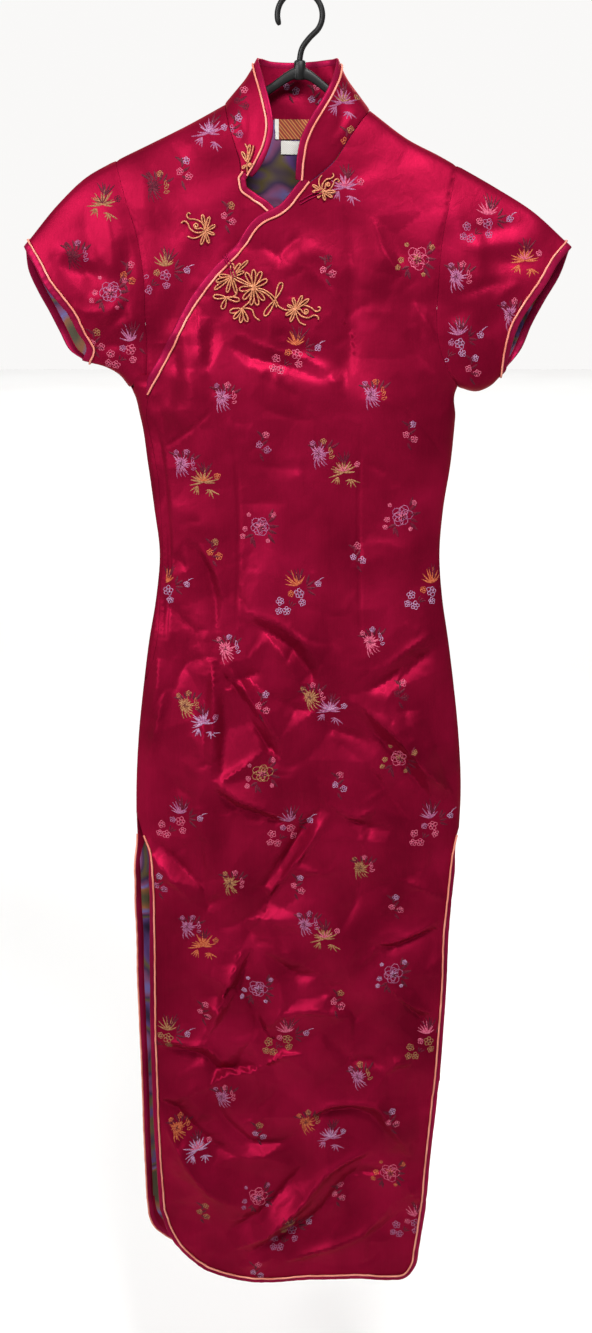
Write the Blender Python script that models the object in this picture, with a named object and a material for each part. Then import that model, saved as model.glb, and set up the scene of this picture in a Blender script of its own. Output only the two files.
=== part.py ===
"""Cheongsam hanging on a plain moulded hanger.

Frame: metres, +Z up, +X to the right as seen from the front, the front of the dress faces -Y.
The origin is the inner top of the hanger's hook, where a rail or a finger carries it.
All sizes below are millimetres and are turned to metres where a mesh is made.

The dress is a set of cloth walls. Front and back are two curved sheets that close on each other
along the shoulders and the side seams, and hang free below the side slits. Each is a pattern cut
in the X-Z plane and laid on a surface y(x, z). Sleeves and collar are walls swept between the
edges of those panels. Every free edge has a satin binding with a thin gold piping beside it.
"Right" and "left" in the names are the wearer's.
"""

import math
from collections import namedtuple

import bmesh
import bpy
import numpy as np
from mathutils import Vector
from mathutils.geometry import delaunay_2d_cdt

for old in list(bpy.data.objects):
    bpy.data.objects.remove(old)

MM = 0.001

WALL = 1.6  # satin and its interlining
COLLAR_WALL = 2.0  # stiffened band
LINING_WALL = 1.0
SEAM_GAP = 0.3  # between pieces that are sewn together
WELD = 1e-3  # cut points closer than this are one
SEAM_EDGE = WALL + SEAM_GAP / 2  # outer face of a panel where front and back meet
UNDERLAP_GAP = 1.5  # between the overlap and the underlap behind it

BINDING_WIDTH = 7.5
BINDING_PROUD = 0.25
PIPING_RADIUS = 1.0
FROG_CORD_RADIUS = 1.15
FROG_LIFT = 0.6  # under the cord, where its stitches lie

COLLAR_BINDING_WIDTH = 6.0
LINING_INSET_SIDE = 13.0
LINING_INSET_SLIT = 2.0
LINING_INSET_HEM = 9.0
SLEEVE_STATIONS = 7

FRONT_STEP = 24.0  # spacing of the points inside the front and the underlap
BACK_STEP = 31.0
EDGE_STEP = 21.0  # spacing of the points along a straight edge
SHOULDER_ROLL = 110.0  # how far below the shoulder line the cloth reaches its full depth

UNDERARM_Z = -398.0
SLIT_TOP_Z = -908.0
SKIRT_OPENS_OVER = 220.0  # below the slit top, the panels part over this height

# Height, the two sides of the dress, and how far front and back stand off the middle plane.
# The rows above the underarm reach into the sleeves.
Level = namedtuple("Level", "z left right front back")
LEVELS = [
    Level(-163, -262, 258, 24, 20),
    Level(-240, -254, 250, 28, 24),
    Level(-300, -243, 238, 31, 24),
    Level(-350, -222, 215, 33, 23),
    Level(-380, -200, 191, 34, 21),
    Level(UNDERARM_Z, -183, 171, 34, 20),
    Level(-430, -173, 169, 32, 19),
    Level(-480, -166, 165, 28, 17),
    Level(-530, -160, 158, 24, 15),
    Level(-580, -155, 155, 22, 14),
    Level(-630, -160, 159, 22, 15),
    Level(-680, -169, 167, 23, 18),
    Level(-730, -176, 174, 24, 20),
    Level(-790, -183, 181, 25, 22),
    Level(-850, -187, 185, 26, 22),
    Level(SLIT_TOP_Z, -188, 184, 25, 20),
    Level(-1000, -188, 180, 24, 18),
    Level(-1200, -188, 172, 23, 18),
    Level(-1490, -180, 152, 22, 17),
]

# Below the slits: the piping line of each panel's two edges.
Slit = namedtuple("Slit", "z front_left front_right back_left back_right")
SLITS = [
    Slit(SLIT_TOP_Z, -179, 181, -179, 180),
    Slit(-930, -171, 177, -186, 172),
    Slit(-960, -169, 174, -187, 164),
    Slit(-1020, -169, 169, -186, 157),
    Slit(-1100, -170, 167, -186, 152),
    Slit(-1200, -170, 162, -184, 150),
    Slit(-1300, -168, 154, -183, 147),
    Slit(-1385, -164, 148, -182, 143),
]

# Points of the cut lines, as (x, z).
SHOULDER_LINE = [
    (-287, -245), (-256, -214), (-223, -180), (-192, -163), (-156, -146), (-116, -127), (-78, -107),
    (-40, -86), (0, -78), (40, -90), (73, -113), (112, -141), (146, -158), (175, -174), (245, -215),
    (285, -245),
]
NECK_RIGHT = (-78, -107)
NECK_LEFT = (73, -113)
TIP_RIGHT = (-192, -163)
TIP_LEFT = (164, -168)
BACK_NECK = [NECK_RIGHT, (-62, -117), (-32, -123), (0, -124), (32, -124), (58, -122), NECK_LEFT]
FRONT_NECK = [NECK_LEFT, (62, -126), (50, -143), (35, -165), (20, -178), (4, -190)]
UNDERLAP_NECK = [NECK_RIGHT, (-73, -130), (-67, -149), (-62, -167), (-62, -181)]
UNDERLAP_NECK_EDGE = [(-62, -181), (-60, -192), (-50, -200), (-38, -208), (-28, -218)]
OVERLAP = [
    (4, -190), (-16, -213), (-42, -227), (-60, -251), (-91, -283), (-112, -311), (-139, -361),
    (-161, -399),
]
NECK_NOTCH = [(-28, -219), (-16, -213)]  # where the overlap crosses the underlap's neck edge
NECK_LINING_EDGE = [
    (62, -131), (110, -158), (140, -176), (135, -240), (120, -300), (60, -312), (0, -316), (-70, -312),
    (-140, -300), (-152, -240), (-160, -178), (-112, -144), (-68, -125),
]
UNDERLAP_HIDDEN = [(-28, -218), (-26, -246), (-60, -290), (-96, -340), (-125, -384), (-148, -398)]
ARMHOLE_RIGHT = [
    TIP_RIGHT, (-183, -197), (-170, -240), (-164, -279), (-163, -318), (-163, -368), (-165, -386),
]
ARMHOLE_RIGHT_LOW = [(-165, -386), (-173, -391), (-183, UNDERARM_Z)]
ARMHOLE_LEFT = [
    TIP_LEFT, (156, -204), (148, -248), (145, -294), (144, -323), (147, -350), (157, -376), (171, UNDERARM_Z),
]
BACK_ARMHOLE_RIGHT = [TIP_RIGHT, (-180, -200), (-170, -250), (-166, -300), (-168, -350), (-183, UNDERARM_Z)]
BACK_ARMHOLE_LEFT = [TIP_LEFT, (156, -204), (150, -250), (147, -300), (152, -350), (171, UNDERARM_Z)]
PLACKET_LINE = [
    (-161, -399), (-165, -426), (-159, -462), (-154, -493), (-152, -530), (-151, -580), (-155, -630),
    (-158, -672), (-164, -700),
]
PLACKET_FOOT = [(-164, -700), (-172, -722)]
FRONT_HEM = [
    (-164, -1385), (-155, -1414), (-137, -1441), (-112, -1462), (-85, -1472), (-37, -1477), (20, -1475),
    (75, -1473), (112, -1477), (128, -1476), (137, -1464), (141, -1440), (148, -1385),
]
BACK_HEM = [
    (-182, -1385), (-176, -1420), (-155, -1441), (-120, -1457), (-60, -1468), (0, -1470), (60, -1468),
    (105, -1459), (132, -1440), (141, -1415), (143, -1385),
]

# Sleeves: the fold along the top, the seam underneath, and the cuff's front and back edges,
# each from armhole to cuff or from top to bottom.
RIGHT_TOP = [TIP_RIGHT, (-223, -180), (-252, -206), (-286, -245)]
RIGHT_UNDER = [(-183, UNDERARM_Z), (-194, -384), (-208, -376), (-226, -371)]
RIGHT_CUFF_FRONT = [
    (-286, -245), (-273, -266), (-263, -285), (-250, -302), (-238, -318), (-229, -338), (-220, -358),
    (-226, -371),
]
RIGHT_CUFF_BACK = [
    (-286, -245), (-284, -270), (-275, -293), (-263, -316), (-252, -338), (-240, -360), (-226, -371),
]
LEFT_TOP = [TIP_LEFT, (204, -190), (245, -215), (281, -246)]
LEFT_UNDER = [(171, UNDERARM_Z), (191, -402), (205, -396), (216, -385)]
LEFT_CUFF_FRONT = [(281, -246), (268, -260), (253, -285), (236, -310), (225, -330), (219, -354), (216, -385)]
LEFT_CUFF_BACK = [(281, -246), (272, -276), (256, -306), (243, -332), (232, -360), (216, -385)]
CUFF_FOLD = 5.0  # half the thickness of the cuff at its top and bottom folds
CUFF_DEPTH_FRONT = 15.0
CUFF_DEPTH_BACK = 17.0

# Collar stations, from the wearer's right front end round the back to the left front end: the seam
# point is read from the neck edges at `seat` (0 to 1 along each edge), the rest is the piping line.
Collar = namedtuple("Collar", "edge seat x y z")
COLLAR = [
    Collar("right", 0.97, -54, -24, -178),
    Collar("right", 0.86, -46, -28, -167),
    Collar("right", 0.70, -37, -30, -149),
    Collar("right", 0.52, -33, -28, -130),
    Collar("right", 0.34, -36, -23, -110),
    Collar("right", 0.16, -42, -14, -88),
    Collar("back", 0.02, -47, -2, -69),
    Collar("back", 0.14, -43, 10, -67),
    Collar("back", 0.30, -30, 17, -70),
    Collar("back", 0.46, -8, 19, -71),
    Collar("back", 0.62, 14, 18, -70),
    Collar("back", 0.80, 34, 13, -68),
    Collar("back", 0.96, 42, 1, -69),
    Collar("left", 0.12, 38, -13, -86),
    Collar("left", 0.28, 28, -23, -105),
    Collar("left", 0.46, 16, -29, -124),
    Collar("left", 0.63, 7, -31, -142),
    Collar("left", 0.80, 3, -31, -160),
    Collar("left", 0.97, 1, -28, -183),
]
COLLAR_ROWS = 4

# Soft folds: a ridge (rise > 0) or a trough along a line, as wide as `width` to each side.
Fold = namedtuple("Fold", "x0 z0 x1 z1 width rise")
FRONT_FOLDS = [
    Fold(-122, -322, -112, -440, 20, 5),
    Fold(-142, -350, -136, -420, 15, -4),
    Fold(-20, -250, 96, -290, 20, 4),
    Fold(-70, -345, 60, -372, 17, -4),
    Fold(-30, -380, 120, -420, 18, 4),
    Fold(52, -300, 62, -640, 22, -4),
    Fold(-150, -520, -66, -560, 18, 3.5),
    Fold(40, -600, 150, -560, 18, 3.5),
    Fold(-100, -676, -112, -965, 17, 5),
    Fold(-92, -700, -26, -795, 17, 5),
    Fold(-60, -655, 12, -736, 18, -4.5),
    Fold(-98, -832, -24, -884, 17, 4.5),
    Fold(30, -860, -84, -1068, 20, -4),
    Fold(70, -715, 176, -836, 22, 6),
    Fold(2, -715, 146, -900, 22, -4),
    Fold(-168, -930, -100, -985, 18, 5),
    Fold(-44, -1000, -12, -1070, 18, 5),
    Fold(-10, -985, 120, -1130, 24, 6),
    Fold(60, -940, 160, -1060, 20, -5),
    Fold(-150, -1090, -60, -1230, 22, -4),
    Fold(20, -1150, 140, -1290, 26, 5),
    Fold(-162, -1305, -60, -1392, 20, 6),
    Fold(-60, -1392, 60, -1372, 22, 5),
    Fold(-20, -1440, 120, -1350, 22, -4),
    Fold(60, -1200, 75, -1470, 26, -5),
    Fold(-50, -1260, -42, -1470, 30, 6),
]
BACK_FOLDS = [
    Fold(-90, -200, -60, -420, 24, 5),
    Fold(80, -220, 60, -430, 24, 5),
    Fold(-140, -400, -40, -520, 20, -4),
    Fold(130, -410, 30, -540, 20, -4),
    Fold(-130, -560, 100, -600, 22, 4),
    Fold(-70, -640, -100, -900, 24, 5),
    Fold(60, -660, 90, -930, 24, -4),
    Fold(-20, -760, 10, -1120, 28, 6),
    Fold(-120, -960, -90, -1400, 28, -4),
    Fold(90, -1000, 100, -1420, 28, 7),
    Fold(20, -1180, 30, -1460, 28, -4),
    Fold(-50, -1220, -40, -1460, 26, 6),
]
RIGHT_SLEEVE_FOLDS = [
    Fold(-250, -262, -180, -295, 14, -5),
    Fold(-196, -210, -200, -360, 20, 4),
    Fold(-222, -352, -170, -338, 12, -5),
]
LEFT_SLEEVE_FOLDS = [
    Fold(190, -262, 262, -262, 14, -5),
    Fold(180, -230, 186, -370, 20, 4),
    Fold(176, -345, 222, -322, 13, -4),
]
BUST_POINTS = [(-92, -412), (88, -402)]  # where the darts end
BUST_FULLNESS = 6.0
BUST_RADIUS = 55.0

# Cord frogs laid on the cloth: what carries them, centre, size of the flower and its turn.
Flower = namedtuple("Flower", "name on x z radius petals turn")
FLOWERS = [
    Flower("frog_flower_chest", "underlap", -102, -232, 16.0, 6, 0.3),
    Flower("frog_flower_neck", "front", 22, -200, 12.0, 6, 0.8),
    Flower("frog_flower_main", "front", -47, -295, 12.0, 7, 0.2),
    Flower("frog_flower_upper", "front", -67, -281, 8.0, 6, 0.9),
    Flower("frog_flower_lower", "front", -58, -321, 10.5, 6, 0.5),
    Flower("frog_flower_end", "front", 1, -316, 13.0, 7, 0.0),
]
FROG_KNOB_RADIUS = 1.8
KNOB_ROUND = ((0.0, 0.7), (1.4, 1.0), (2.8, 0.6))  # height in mm above its seat, share of the radius
# The frog on the collar's right front end: its middle and half size, in stations round the band and
# shares of the band's height.
COLLAR_FROG_MIDDLE = (1.15, 0.46)
COLLAR_FROG_REACH = (0.85, 0.33)
COLLAR_FROG_PETALS = 4
FROG_STEM = [(-31, -299), (-25, -305), (-20, -311), (-17, -314)]
Leaf = namedtuple("Leaf", "name x z degrees")
FROG_LEAVES = [
    Leaf("frog_leaf_upper", -21, -293, 65),
    Leaf("frog_leaf_lower", -31, -315, 62),
    Leaf("frog_leaf_side", -77, -306, 20),
]
LEAF_LENGTH = 13.0
LEAF_HALF_WIDTH = 3.2

LABEL = (-26, 23, -121, -141)  # left, right, top, bottom
SIZE_TAG = (-20, 12, -142.5, -156)
LABEL_THICKNESS = 0.7
LABEL_GAP = 0.7  # it stands a little off the lining between its stitches

# Hanger: one moulding, arms sloping down from a raised middle, and the rod bent into a hook.
HOOK_ROD_RADIUS = 3.0
HOOK_INNER_RADIUS = 20.0
HOOK_STEM_FOOT = -72.0
HOOK_TIP_ANGLE = 205.0
ARM_TOP = [
    (-190, -171), (-156, -153), (-116, -134), (-78, -119), (-31, -87), (0, -70), (31, -89), (73, -126),
    (112, -150), (146, -166), (175, -182), (192, -190),
]
ARM_HEIGHT_MIDDLE = 12.0
ARM_HEIGHT_END = 8.0
ARM_HALF_THICKNESS = 3.2
ARM_EDGE_DROP = 1.5  # its top edges are rounded off by this much


# ---------------------------------------------------------------- numbers

def smooth(t, ts, vs):
    """Value at t of a smooth curve through (ts, vs), with ts rising; level beyond its ends."""
    ts = np.asarray(ts, float)
    vs = np.asarray(vs, float)
    slopes = np.gradient(vs, ts)
    t = np.clip(np.asarray(t, float), ts[0], ts[-1])
    i = np.clip(np.searchsorted(ts, t) - 1, 0, len(ts) - 2)
    width = ts[i + 1] - ts[i]
    u = (t - ts[i]) / width
    start = (1 + 2 * u) * (1 - u) ** 2 * vs[i] + u * (1 - u) ** 2 * width * slopes[i]
    end = u * u * (3 - 2 * u) * vs[i + 1] + u * u * (u - 1) * width * slopes[i + 1]
    return start + end


def read(table, name, z):
    """One column of a table at height z."""
    rows = table[::-1]
    return smooth(z, [row.z for row in rows], [getattr(row, name) for row in rows])


def along(points, shares):
    """Points of the smooth curve through `points`, at shares (0 to 1) of its chord length."""
    points = np.asarray(points, float)
    chord = np.concatenate([[0], np.cumsum(np.linalg.norm(np.diff(points, axis=0), axis=1))])
    t = np.asarray(shares) * chord[-1]
    return np.stack([smooth(t, chord, points[:, i]) for i in range(points.shape[1])], axis=1)


def cut(points, step=EDGE_STEP):
    """A cut line: the smooth curve through `points` as evenly spaced points about `step` apart."""
    points = np.asarray(points, float)
    length = np.linalg.norm(np.diff(points, axis=0), axis=1).sum()
    count = max(2, int(round(length / step)) + 1)
    return along(points, np.linspace(0, 1, count))


def ease(t):
    t = np.clip(t, 0, 1)
    return t * t * (3 - 2 * t)


def unit(vectors):
    return vectors / np.maximum(np.linalg.norm(vectors, axis=-1, keepdims=True), 1e-9)


# ---------------------------------------------------------------- the cloth's surfaces

def relief(x, z, folds):
    """How far the soft folds lift the cloth at (x, z)."""
    lift = np.zeros(np.broadcast(x, z).shape)
    for fold in folds:
        dx, dz = fold.x1 - fold.x0, fold.z1 - fold.z0
        length = math.hypot(dx, dz)
        t = ((x - fold.x0) * dx + (z - fold.z0) * dz) / length**2
        away = ((x - fold.x0) * dz - (z - fold.z0) * dx) / length
        fade = np.clip(1 - (2 * t - 1) ** 4, 0, 1) * (np.abs(2 * t - 1) < 1)
        lift = lift + fold.rise * fade * np.exp(-((away / fold.width) ** 2))
    return lift


def roll_over_shoulder(x, z):
    """0 on the shoulder line, 1 where the cloth hangs at its full depth."""
    line = smooth(x, [p[0] for p in SHOULDER_LINE], [p[1] for p in SHOULDER_LINE])
    t = np.clip((line - z) / SHOULDER_ROLL, 0, 1)
    return np.sqrt(1 - (1 - t) ** 2)


def across(x, z, left, right):
    """0 at the side seams and 1 in the middle; below the slits the edges stand off as well."""
    s = np.clip(np.abs((x - (left + right) / 2) / ((right - left) / 2)), 0, 1)
    closed = (1 - s**2.4) ** 0.55
    hanging = 0.5 + 0.5 * np.sqrt(np.clip(1 - s**2, 0, 1))
    opened = ease((SLIT_TOP_Z - z) / SKIRT_OPENS_OVER)
    return closed * (1 - opened) + hanging * opened


def stand_off(x, z, side, folds):
    """Distance of the panel's outer face from the middle plane."""
    opened = ease((SLIT_TOP_Z - z) / SKIRT_OPENS_OVER)
    left = read(LEVELS, "left", z)
    right = read(LEVELS, "right", z)
    shape = across(x, z, left, right) * roll_over_shoulder(x, z)
    loose = np.clip(shape * 2.2 - 0.15, 0, 1) * (1 - opened) + opened
    return SEAM_EDGE + read(LEVELS, side, z) * shape + relief(x, z, folds) * loose


def front_y(x, z):
    x, z = np.asarray(x, float), np.asarray(z, float)
    fullness = sum(
        BUST_FULLNESS * np.exp(-(((x - bx) ** 2 + (z - bz) ** 2) / BUST_RADIUS**2)) for bx, bz in BUST_POINTS
    )
    near_side = across(x, z, read(LEVELS, "left", z), read(LEVELS, "right", z))
    return -(stand_off(x, z, "front", FRONT_FOLDS) + fullness * np.clip(near_side * 2 - 0.4, 0, 1))


def under_overlap(flat):
    """How far the underlap lies behind the overlap's face; flush with it near shoulder and neck."""
    flat = np.asarray(flat, float)
    x, z = flat[:, 0], flat[:, 1]
    line = overlap_cut[::-1]
    edge = np.interp(x, line[:, 0], line[:, 1])
    return (WALL + UNDERLAP_GAP) * ease((edge + 80 - z) / 52)


def back_y(x, z):
    x, z = np.asarray(x, float), np.asarray(z, float)
    turned = 7.0 * ease((-130 - x) / 50) * ease((SLIT_TOP_Z + 30 - z) / 40) * ease((z + 1060) / 110)
    return stand_off(x, z, "back", BACK_FOLDS) - turned


def lay(surface, flat):
    """Points of a flat pattern (x, z) on a surface, and the surface's outward normals there."""
    flat = np.asarray(flat, float)
    x, z = flat[:, 0], flat[:, 1]
    h = 1.0
    y = surface(x, z)
    slope_x = (surface(x + h, z) - surface(x - h, z)) / (2 * h)
    slope_z = (surface(x, z + h) - surface(x, z - h)) / (2 * h)
    facing = -1 if surface is front_y else 1
    normals = unit(np.stack([-slope_x, np.ones_like(x), -slope_z], axis=1)) * facing
    return np.stack([x, y, z], axis=1), normals


# ---------------------------------------------------------------- making meshes

def material(name, colour, roughness, metallic=0.0):
    found = bpy.data.materials.get(name)
    if found:
        return found
    made = bpy.data.materials.new(name)
    made.use_nodes = True
    made.diffuse_color = (*colour, 1)
    shader = made.node_tree.nodes["Principled BSDF"]
    shader.inputs["Base Color"].default_value = (*colour, 1)
    shader.inputs["Roughness"].default_value = roughness
    shader.inputs["Metallic"].default_value = metallic
    return made


SATIN = material("red satin brocade", (0.42, 0.01, 0.05), 0.38)
BINDING = material("dark red binding satin", (0.30, 0.01, 0.03), 0.42)
PIPING = material("peach gold piping", (0.80, 0.36, 0.26), 0.35)
CORD = material("gold frog cord", (0.66, 0.36, 0.14), 0.40)
LINING = material("printed lining", (0.12, 0.07, 0.14), 0.50)
LABEL_WEAVE = material("woven label", (0.50, 0.20, 0.06), 0.80)
TAG_TAPE = material("white tape", (0.72, 0.70, 0.68), 0.80)
MOULDED = material("black moulded plastic", (0.012, 0.012, 0.011), 0.45)


def solid(name, points, faces, finish, smooth_below=40):
    """A closed mesh object from points in millimetres."""
    mesh = bpy.data.meshes.new(name)
    mesh.from_pydata([tuple(p) for p in np.asarray(points) * MM], [], [tuple(f) for f in faces])
    shape = bmesh.new()
    shape.from_mesh(mesh)
    bmesh.ops.recalc_face_normals(shape, faces=shape.faces)
    bmesh.ops.triangulate(shape, faces=[face for face in shape.faces if len(face.verts) > 3])
    shape.to_mesh(mesh)
    shape.free()
    mesh.materials.append(finish)
    mesh.shade_smooth()
    mesh.set_sharp_from_angle(angle=math.radians(smooth_below))
    made = bpy.data.objects.new(name, mesh)
    bpy.context.scene.collection.objects.link(made)
    return made


def fill(outline, step, lines=()):
    """Triangles that fill a closed outline of (x, z) points, with points inside it every `step`.

    Each of `lines` is kept as a row of edges, so that pieces which share it have the same points.
    """
    outline = np.asarray(outline, float)
    marks = [np.asarray(line, float) for line in lines]
    low, high = outline.min(axis=0), outline.max(axis=0)
    rows = np.arange(low[1] + step * 0.5, high[1], step)
    inside = []
    for number, z in enumerate(rows):
        shift = 0.5 * step * (number % 2)
        for x in np.arange(low[0] + step * 0.3 + shift, high[0], step):
            clear = away_from(outline, x, z) > 0.5 * step
            clear = clear and all(from_line(mark, x, z) > 0.4 * step for mark in marks)
            if clear and encloses(outline, x, z):
                inside.append((x, z))
    points = [Vector(p) for p in outline]
    edges = []
    for mark in marks:
        edges += [(len(points) + i, len(points) + i + 1) for i in range(len(mark) - 1)]
        points += [Vector(p) for p in mark]
    points += [Vector(p) for p in inside]
    loop = list(range(len(outline)))
    verts, _, faces, *_ = delaunay_2d_cdt(points, edges, [loop], 1, WELD)
    return np.array([tuple(v) for v in verts]), [list(face) for face in faces]


def within(flat, faces, outline):
    """The faces whose middle lies in the outline."""
    return [face for face in faces if encloses(np.asarray(outline), *flat[face].mean(axis=0))]


def encloses(outline, x, z):
    x0, z0 = outline[:, 0], outline[:, 1]
    x1, z1 = np.roll(x0, -1), np.roll(z0, -1)
    crosses = ((z0 > z) != (z1 > z)) & (x < (x1 - x0) * (z - z0) / np.where(z1 == z0, 1, z1 - z0) + x0)
    return bool(crosses.sum() % 2)


def from_line(line, x, z):
    """Distance of (x, z) from an open line."""
    run = line[1:] - line[:-1]
    t = np.clip((([x, z] - line[:-1]) * run).sum(axis=1) / np.maximum((run**2).sum(axis=1), 1e-9), 0, 1)
    return np.linalg.norm(line[:-1] + run * t[:, None] - [x, z], axis=1).min()


def away_from(outline, x, z):
    """Distance of (x, z) from a closed outline."""
    return from_line(np.vstack([outline, outline[:1]]), x, z)


def joined(*lines):
    """One closed outline from cut lines that meet end to end."""
    points = []
    for line in lines:
        for p in line:
            if not points or np.linalg.norm(np.asarray(p) - points[-1]) > 0.5:
                points.append(np.asarray(p, float))
    if np.linalg.norm(points[0] - points[-1]) < 0.5:
        points.pop()
    return np.array(points)


def panel(name, flat, faces, surface, wall, finish, sunk=None):
    """A cloth wall: a flat cut laid on the surface, or `sunk` below it, `wall` thick."""
    used = sorted({i for face in faces for i in face})
    number = {old: new for new, old in enumerate(used)}
    flat = flat[used]
    faces = [[number[i] for i in face] for face in faces]
    outer, normals = lay(surface, flat)
    if sunk is not None:
        outer = outer - normals * np.broadcast_to(sunk(flat), len(flat))[:, None]
    inner = outer - normals * wall
    count = len(outer)
    sides = {(a, b) for face in faces for a, b in zip(face, face[1:] + face[:1])}
    rim = [(a, b) for a, b in sorted(sides) if (b, a) not in sides]
    walls = faces + [[i + count for i in face[::-1]] for face in faces]
    walls += [[b, a, a + count, b + count] for a, b in rim]
    return solid(name, np.vstack([outer, inner]), walls, finish)


def sweep(name, rings, finish, closed=False):
    """One skin over equal rings of points, capped at its ends unless it closes on itself."""
    rings = np.asarray(rings, float)
    stations, corners = rings.shape[:2]
    faces = []
    for i in range(stations if closed else stations - 1):
        j = (i + 1) % stations
        for a in range(corners):
            b = (a + 1) % corners
            faces.append([i * corners + a, i * corners + b, j * corners + b, j * corners + a])
    if not closed:
        faces.append(list(range(corners))[::-1])
        faces.append([(stations - 1) * corners + a for a in range(corners)])
    return solid(name, rings.reshape(-1, 3), faces, finish)


def tangents(points, closed=False):
    if closed:
        return unit(np.roll(points, -1, axis=0) - np.roll(points, 1, axis=0))
    return unit(np.gradient(points, axis=0))


def edge_frame(points, normals, outward_hint, closed=False):
    """Unit vectors that lie in the cloth and point away from it across its edge."""
    away = unit(np.cross(tangents(points, closed), normals))
    flip = np.sign((away * outward_hint).sum(axis=1))
    flip[flip == 0] = 1
    return away * flip[:, None]


def bind_edge(name, points, normals, away, wall=WALL, closed=False, width=BINDING_WIDTH):
    """A satin binding that carries the cloth on past its piping line, and the piping beside it."""
    near, far = away * SEAM_GAP, away * width
    top = normals * BINDING_PROUD
    bottom = -normals * (wall + BINDING_PROUD)
    middle = (top + bottom) / 2
    rings = np.stack(
        [points + near + top, points + far + top, points + far + middle + away * 0.8,
         points + far + bottom, points + near + bottom], axis=1)
    sweep("binding_" + name, rings, BINDING, closed)
    seat = points - away * (PIPING_RADIUS + 0.1) + normals * (PIPING_RADIUS + SEAM_GAP)
    ring = [seat + PIPING_RADIUS * (away * math.cos(a) + normals * math.sin(a))
            for a in np.linspace(0, 2 * math.pi, 5)[:4] + math.pi / 4]
    sweep("piping_" + name, np.stack(ring, axis=1), PIPING, closed)


def cord(name, points, normals, radius, finish, closed=False, sides=5):
    """A round cord through points, with its section square to its path."""
    side = unit(np.cross(tangents(points, closed), normals))
    up = unit(np.cross(side, tangents(points, closed)))
    ring = [points + radius * (side * math.cos(a) + up * math.sin(a))
            for a in np.linspace(0, 2 * math.pi, sides + 1)[:-1]]
    return sweep(name, np.stack(ring, axis=1), finish, closed)


def on_cloth(surface, flat, height):
    points, normals = lay(surface, flat)
    return points + normals * height, normals


# ---------------------------------------------------------------- cut lines

def side_line(name, top, bottom, step=34.0):
    zs = np.linspace(top, bottom, int(round((top - bottom) / step)) + 1)
    return np.stack([read(LEVELS, name, zs), zs], axis=1)


def slit_line(name):
    zs = np.concatenate([[SLIT_TOP_Z, -918, -932, -950], np.linspace(-985, SLITS[-1].z, 12)])
    return np.stack([read(SLITS, name, zs), zs], axis=1)


def shoulder(start, end):
    xs = np.linspace(start[0], end[0], 6)
    zs = smooth(xs, [p[0] for p in SHOULDER_LINE], [p[1] for p in SHOULDER_LINE])
    zs[0], zs[-1] = start[1], end[1]
    return np.stack([xs, zs], axis=1)


overlap_cut = cut(OVERLAP, 15)
front_neck_cut = cut(FRONT_NECK, 16)
back_neck_cut = cut(BACK_NECK, 16)
underlap_neck_cut = cut(UNDERLAP_NECK, 16)
underlap_edge_cut = cut(UNDERLAP_NECK_EDGE, 10)
placket_cut = cut(PLACKET_LINE, 30)
front_hem_cut = cut(FRONT_HEM, 19)
back_hem_cut = cut(BACK_HEM, 21)
armhole_right_cut = along(ARMHOLE_RIGHT, np.linspace(0, 1, 11))
armhole_low_cut = np.array(ARMHOLE_RIGHT_LOW, float)
armhole_left_cut = along(ARMHOLE_LEFT, np.linspace(0, 1, 13))
back_armhole_right_cut = along(BACK_ARMHOLE_RIGHT, np.linspace(0, 1, 13))
back_armhole_left_cut = along(BACK_ARMHOLE_LEFT, np.linspace(0, 1, 13))
front_slit_right_cut = slit_line("front_left")
front_slit_left_cut = slit_line("front_right")
back_slit_right_cut = slit_line("back_left")
back_slit_left_cut = slit_line("back_right")


# ---------------------------------------------------------------- pieces

def make_front_and_underlap():
    """Both are cut from one set of points, so that the two layers run parallel under the overlap."""
    front = joined(
        overlap_cut,
        placket_cut,
        cut(PLACKET_FOOT, 12),
        side_line("left", -722, SLIT_TOP_Z + 25)[1:],
        front_slit_right_cut,
        front_hem_cut,
        front_slit_left_cut[::-1],
        side_line("right", UNDERARM_Z, SLIT_TOP_Z + 8)[::-1],
        armhole_left_cut[::-1],
        shoulder(NECK_LEFT, TIP_LEFT)[::-1],
        front_neck_cut,
    )
    hidden_cut = cut(UNDERLAP_HIDDEN, 20)
    underlap = joined(
        underlap_neck_cut,
        underlap_edge_cut,
        hidden_cut,
        armhole_right_cut[::-1],
        shoulder(TIP_RIGHT, NECK_RIGHT),
    )
    both = joined(
        underlap_neck_cut,
        underlap_edge_cut[:-1],
        NECK_NOTCH,
        front_neck_cut[::-1],
        shoulder(NECK_LEFT, TIP_LEFT),
        armhole_left_cut,
        side_line("right", UNDERARM_Z, SLIT_TOP_Z + 8),
        front_slit_left_cut,
        front_hem_cut[::-1],
        front_slit_right_cut[::-1],
        side_line("left", -722, SLIT_TOP_Z + 25)[:0:-1],
        cut(PLACKET_FOOT, 12)[::-1],
        placket_cut[::-1],
        armhole_right_cut[::-1],
        shoulder(TIP_RIGHT, NECK_RIGHT),
    )
    flat, faces = fill(both, FRONT_STEP, [overlap_cut, overlap_binding_edge(), underlap_edge_cut, hidden_cut])
    panel("front_panel", flat, within(flat, faces, front), front_y, WALL, SATIN)
    panel("front_underlap", flat, within(flat, faces, underlap), front_y, WALL, SATIN, under_overlap)


def overlap_binding_edge():
    """Where the overlap's binding ends, a little over its width away from the cut line."""
    run = unit(np.gradient(overlap_cut, axis=0))
    away = np.stack([run[:, 1], -run[:, 0]], axis=1)
    return (overlap_cut + away * (BINDING_WIDTH + 1.5))[2:-1]


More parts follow.
